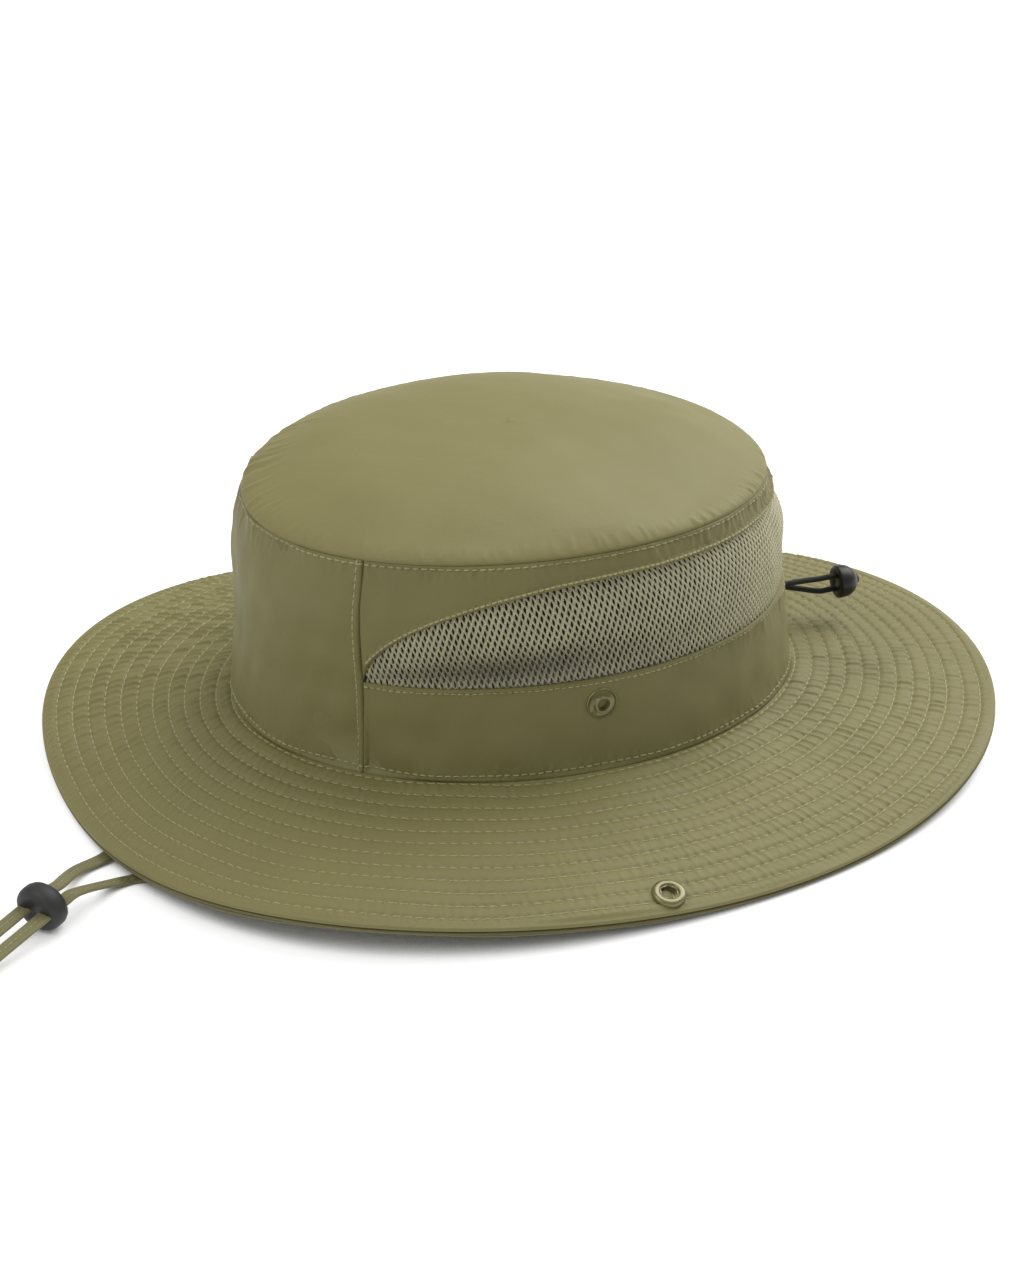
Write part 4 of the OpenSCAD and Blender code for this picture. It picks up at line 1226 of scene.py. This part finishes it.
def make_drawcord():
    y0 = EYE[1]
    eyelet = [(3.0, -1.6), (3.0, 0.5), (3.15, 0.85), (3.5, 1.0), (4.1, 0.98), (4.7, 0.75), (5.0, 0.4),
              (4.9, 0.15), (3.6, 0.1), (3.55, -1.15), (4.9, -1.2), (5.0, -1.45), (4.7, -1.65), (3.5, -1.7)]
    piece = soften(turned("eyelet", eyelet, EYE, EYE_AXIS, EYELET), 60)
    add(piece, "crown", "eyelet", "drawcord_eyelet")
    # the cord's run in its channel, then its two short ends through the eyelet
    p = np.linspace(92, 448, 240)
    v = EYE[2] / SEAM_H + 0 * p
    run = side_point(p, v, 3.4)
    run[:, 2] = EYE[2]
    left_end, right_end = [CORD_X, y0 + 1.3, EYE[2]], [-CORD_X, y0 + 1.3, EYE[2]]
    path = np.concatenate([
        bend([right_end, [-CORD_X, y0 - 2, EYE[2]], run[0] + [-0.5, 0, 0], run[3]], 6)[:-1], run[3:-3],
        bend([run[-4], run[-1] + [0.5, 0, 0], [CORD_X, y0 - 2, EYE[2]], left_end], 6)[1:]])
    cord("drawcord_in_channel", path, "crown", "drawcord_run")
    bz = BEAD_FACE[2]
    for s, name in ((1, "drawcord_upper"), (-1, "drawcord_lower")):
        path = bend([
            [s * CORD_X, PIVOT_Y - 0.6, EYE[2]], [s * CORD_X, PIVOT_Y, EYE[2] - 0.2],
            [s * 0.95, mix(PIVOT_Y, BEAD_FACE[1], 0.2), mix(EYE[2], bz, 0.25) + s * 1.15],
            [s * 0.4, mix(PIVOT_Y, BEAD_FACE[1], 0.45), mix(EYE[2], bz, 0.6) + s * 1.9],
            [0, BEAD_FACE[1] - 7, bz + s * (CORD_SPREAD - 0.05)],
            *([0, BEAD_FACE[1] + y, bz + s * CORD_SPREAD] for y in (-3.5, 0, 7.2))], 12)
        cord(name, path, "drawcord_tail", "drawcord_tail")
    r = BEAD_R
    dome = [(0.02, 0.25), (r * 0.55, 0.0), (r * 0.86, 0.05), (r * 0.97, 0.35), (r, 0.9), (r * 0.99, 2.4)]
    for a in np.radians(np.linspace(12, 70, 9)):
        dome.append((r * np.cos(a), 2.4 + r * np.sin(a)))
    dome += [(1.9, 8.75), (1.85, 9.2), (1.5, 9.55), (0.8, 9.7), (0.02, 9.72)]
    piece = turned("bead", dome, BEAD_FACE, (0, 1, 0), BEAD, n=64)
    cutters = [turned("cut", [(0.01, -1), (CORD_D / 2 + 0.3, -1), (CORD_D / 2 + 0.12, 0.5),
                              (CORD_D / 2 + 0.12, 12), (0.01, 12)],
                      BEAD_FACE + [0, 0, s * CORD_SPREAD], (0, 1, 0), BEAD, n=24) for s in (1, -1)]
    hollowed(piece, cutters)
    add(piece, "drawcord_toggle", "bead", "drawcord_toggle")


make_drawcord()

# ---- Chin strap

ALONG = np.array(JOINTS["toggle_slide"]["axis"], float)
STRAP_W, STRAP_T = 6.0, 1.2
TOGGLE_PITCH, LOOP = 9.2, 58.0                  # between the toggle's slots, and from it to the loop's end
HEADING = math.atan2(ALONG[1], ALONG[0])
BESIDE = np.array([-math.sin(HEADING), math.cos(HEADING), 0])
TOGGLE_R, TOGGLE_T = 8.6, 9.0
STRAP_Z = GROUND_Z + STRAP_T / 2
TOGGLE = np.array([75.0, -208.0, GROUND_Z + TOGGLE_R])
TOGGLE_WIDENING = 1.14                          # across the slots
ANCHOR_X = BASE_W - 4.2
ANCHOR_Z = -10.0


def flat_section(w, t):
    """Folded cloth strap: rounded edges, and a dip along the stitched middle of each face."""
    x = np.array([-0.5, -0.47, -0.36, -0.2, -0.07, 0, 0.07, 0.2, 0.36, 0.47, 0.5]) * w
    z = np.array([0.0, 0.34, 0.5, 0.48, 0.36, 0.26, 0.36, 0.48, 0.5, 0.34, 0.0]) * t
    return np.concatenate([np.stack([x, z], 1), np.stack([x[-2:0:-1], -z[-2:0:-1]], 1)])[::-1]


def make_strap():
    half = TOGGLE_PITCH / 2
    left_in, right_in = TOGGLE + BESIDE * half, TOGGLE - BESIDE * half
    loop_at = TOGGLE + ALONG * (LOOP - half)
    left = bend([[ANCHOR_X, -4.2, ANCHOR_Z - 0.9], [ANCHOR_X + 0.6, -20, -15], [ANCHOR_X, -60, -22.5],
                 [72, -110, STRAP_Z], [57, -155, STRAP_Z], [55, -174, STRAP_Z],
                 left_in - ALONG * 14 - [0, 0, 1], left_in - ALONG * 6, left_in], 14)
    right = bend([right_in, right_in - ALONG * 6, right_in - ALONG * 14 - [0, 0, 1.5], [44, -187, -25.6],
                  [31, -168, STRAP_Z], [-2, -150, STRAP_Z],
                  [-66, -110, STRAP_Z], [-ANCHOR_X, -60, -22.5], [-ANCHOR_X - 0.6, -20, -15],
                  [-ANCHOR_X, -4.2, ANCHOR_Z - 0.9]], 14)
    a = np.radians(np.linspace(90, -90, 24))
    loop = loop_at + half * (ALONG * np.cos(a)[:, None] + BESIDE * np.sin(a)[:, None])
    path = np.concatenate([left, loop, right])
    s = distances(path)
    path = along(path, s, np.arange(0, s[-1], 1.3))
    grid, up = sweep(path, flat_section(STRAP_W, STRAP_T))
    add(loft_piece("strap", grid, STRAP_CLOTH), "chin_strap", "strap_cloth", "chin_strap")
    runs = [stitch_run(path + up * k * STRAP_T * 0.28, up * k, 2.8, 0.16, False) for k in (1, -1)]
    thread_piece("strap_stitches", runs, body="chin_strap", material=THREAD, slot="strap_cloth")


make_strap()


def make_toggle():
    """A thick rounded disc with a slot for each run of the strap, and a tab to press."""
    r, t = TOGGLE_R, TOGGLE_T / 2
    face = [(0.02, t - 0.5), (r * 0.45, t - 0.3), (r * 0.62, t), (r * 0.8, t - 0.35), (r * 0.93, t - 1.4),
            (r * 0.99, t - 2.8)]
    section = [(x, -y) for x, y in face] + [(r, 0)] + face[::-1]
    piece = turned("toggle", section, TOGGLE, ALONG, RUBBER)
    wide = Vector(BESIDE)
    for vertex in piece.data.vertices:
        vertex.co += wide * ((vertex.co - Vector(TOGGLE * MM)).dot(wide) * (TOGGLE_WIDENING - 1))
    down = np.cross(ALONG, BESIDE)
    down = down if down[2] < 0 else -down
    cutters = []
    for s in (1, -1):
        at = TOGGLE + BESIDE * s * TOGGLE_PITCH / 2
        box = []
        for k in (-1, 1):
            for a in np.arange(16) * TAU / 16:
                x = (STRAP_W / 2 + 0.25) * squared(np.cos(a), 0.6)
                y = (STRAP_T / 2 + 0.5) * squared(np.sin(a), 0.6)
                box.append(at + ALONG * k * 8 + BESIDE * x + down * y)
        grid = np.array(box).reshape(2, 16, 3)
        cutters.append(build("cut", grid.reshape(-1, 3), loft(grid, False, flip=True), RUBBER))
    hollowed(piece, cutters)
    add(piece, "chin_toggle", "toggle_rubber", "chin_toggle")
    # a rounded tab, standing out at the bottom of the side that faces the hat
    round_tab = []
    for depth, share in ((-4.3, 0.96), (-1.5, 1.0), (-0.4, 0.96), (0.05, 0.8), (0.2, 0.5), (0.22, 0.02)):
        for a in np.arange(24) * TAU / 24:
            x = 4.0 * share * squared(np.cos(a), 0.55)
            z = 1.25 * share * squared(np.sin(a), 0.7)
            round_tab.append(TOGGLE + down * (r + depth) + BESIDE * x - ALONG * (t - 0.8 - z))
    grid = np.array(round_tab).reshape(6, 24, 3)
    tab = build("toggle_tab", grid.reshape(-1, 3), loft(grid, False, flip=True), RUBBER, uv=grid_uv(grid))
    add(tab, "chin_toggle", "toggle_rubber")


make_toggle()

# ---- Inside of the hat


def make_inside():
    band_out, band_t, band_h = 5.4, 0.8, 24.0
    n = 720
    p = full_turn(n)
    rng = np.random.default_rng(17)
    field = 0.35 * waves(rng, 560, band_h, (n, 20), (25, 80))
    z = np.concatenate([np.linspace(0, 1, 20), np.linspace(1, 0, 12)])
    inside = np.concatenate([np.full(20, band_out + band_t), np.full(12, band_out)])
    lip = 0.25 * bell(z - 1, 0.06) + 0.25 * bell(z, 0.06)
    inside = inside - np.where(np.arange(32) < 20, -lip, lip)
    shift = np.concatenate([field, field[:, np.linspace(19, 0, 12).astype(int)]], 1)
    v = z[None, :] * band_h / SEAM_H
    grid = side_point(p[:, None], v + 0 * p[:, None], inside[None, :] + shift * ramp(0, 0.6, z)[None, :])
    piece = sheet("sweat_band", grid, BAND_CLOTH, flip=True)
    add(piece, "crown", "sweatband", "sweatband")
    runs = [stitch_run(grid[:, j], -side_normal(p, 0.1 + 0 * p), 3.0, 0.18, True) for j in (2, 17)]
    thread_piece("sweat_band_stitches", runs, slot="sweatband")
    # tape over the back seam
    a = np.linspace(87, 93, 16)
    vv = np.linspace((EYE[2] + 6) / SEAM_H, 1 - 3 / SEAM_H, 60)
    crown = 0.18 * (1 - ((a - 90) / 3) ** 4)
    inner = side_point(a[:, None], vv[None], 1.75 + crown[:, None])
    outer = side_point(a[:, None], vv[None, ::-1], 1.42)
    grid = np.concatenate([inner, outer], 1)
    piece = sheet("back_tape", grid, TAPE_CLOTH, ring=False, flip=True)
    add(piece, "crown", "lining_cloth", "back_seam_tape")
    # tabs that hold the strap's ends
    for side, sign in (("left", 1), ("right", -1)):
        x = sign * ANCHOR_X
        path = bend([[x, 0, 8], [x, 0, 2], [x + sign * 0.3, 0, -4], [x, -0.4, ANCHOR_Z + 0.4]], 8)
        section = flat_section(STRAP_W, 1.6)
        ahead = unit(np.gradient(path, axis=0))
        across = np.array([0, 1.0, 0])
        thick = unit(np.cross(ahead, across))
        grid = path[:, None] + across * section[None, :, :1] + thick[:, None] * section[None, :, 1:]
        piece = loft_piece("strap_tab_" + side, grid, TAPE_CLOTH)
        add(piece, "crown", "lining_cloth", "strap_anchor_" + side)


make_inside()

# ---- Stage


FLOOR_GLOW = 0.66               # glow of the open floor; it fades where the hat closes the floor in


def make_stage():
    floor_z = (node_box("chin_toggle")[0][2] - 0.25) * MM
    size = 6.0
    mesh = bpy.data.meshes.new("floor")
    mesh.from_pydata([(-size, -size, floor_z), (size, -size, floor_z), (size, size, floor_z),
                      (-size, size, floor_z)], [], [(0, 1, 2, 3)])
    floor = bpy.data.objects.new("floor", mesh)
    bpy.context.scene.collection.objects.link(floor)
    n = Nodes("floor")
    # painted shade: the floor's glow fades by ambient occlusion under and round the hat
    closeness = n.node("ShaderNodeAmbientOcclusion", Distance=0.25)
    closeness.samples = 8
    open_floor = n.node("ShaderNodeMapRange", Value=closeness.outputs["AO"], From_Min=0.12,
                        From_Max=0.42).outputs["Result"]
    glow = n.times(open_floor, FLOOR_GLOW)
    mesh.materials.append(n.set(Base_Color=(0.5, 0.5, 0.5, 1), Roughness=0.9, Specular_IOR_Level=0.1,
                                Emission_Color=(1, 1, 1, 1), Emission_Strength=glow))
    scene = bpy.context.scene
    world = bpy.data.worlds.new("studio")
    scene.world = world
    world.use_nodes = True
    world.node_tree.nodes["Background"].inputs[0].default_value = (1, 1, 1, 1)
    world.node_tree.nodes["Background"].inputs[1].default_value = 0.5

    def lamp(name, at, target, width, height, power):
        data = bpy.data.lights.new(name, "AREA")
        data.shape, data.size, data.size_y, data.energy = "RECTANGLE", width, height, power
        light = bpy.data.objects.new(name, data)
        scene.collection.objects.link(light)
        light.location = at
        light.rotation_mode = "QUATERNION"
        light.rotation_quaternion = (Vector(target) - Vector(at)).to_track_quat("-Z", "Y")
    lamp("overhead", (-0.4, 0.95, 1.75), (0, 0, 0.02), 1.5, 1.5, 33)
    lamp("back", (-0.55, 1.6, 1.0), (0, 0, 0), 1.2, 0.8, 13)
    lamp("front", (0.8, -1.8, 0.8), (0, 0, 0.03), 1.2, 0.9, 4)
    lamp("top", (0.15, -1.2, 1.4), (0.05, -0.12, 0), 0.8, 0.8, 10)
    scene.view_settings.view_transform = "Standard"
    scene.view_settings.look = "None"

    # the photograph's view, solved from the outlines of the seams and the brim
    azimuth, elevation, distance, lens = 68.55, 25.88, 1.6434, 123.13
    target = Vector((0, 0, 0.040))
    a, e = math.radians(azimuth), math.radians(elevation)
    back = Vector((math.sin(a) * math.cos(e), -math.cos(a) * math.cos(e), math.sin(e)))
    right = Vector((math.cos(a), math.sin(a), 0))
    up = back.cross(right)
    place = target + back * distance
    aim = target - up * 0.02468 - right * 0.00109
    camera = bpy.data.objects.new("camera", bpy.data.cameras.new("camera"))
    scene.collection.objects.link(camera)
    camera.data.lens = lens
    camera.data.clip_start, camera.data.clip_end = 0.05, 20
    camera.location = place
    camera.rotation_mode = "QUATERNION"
    camera.rotation_quaternion = (aim - place).to_track_quat("-Z", "Y")
    scene.camera = camera


make_stage()
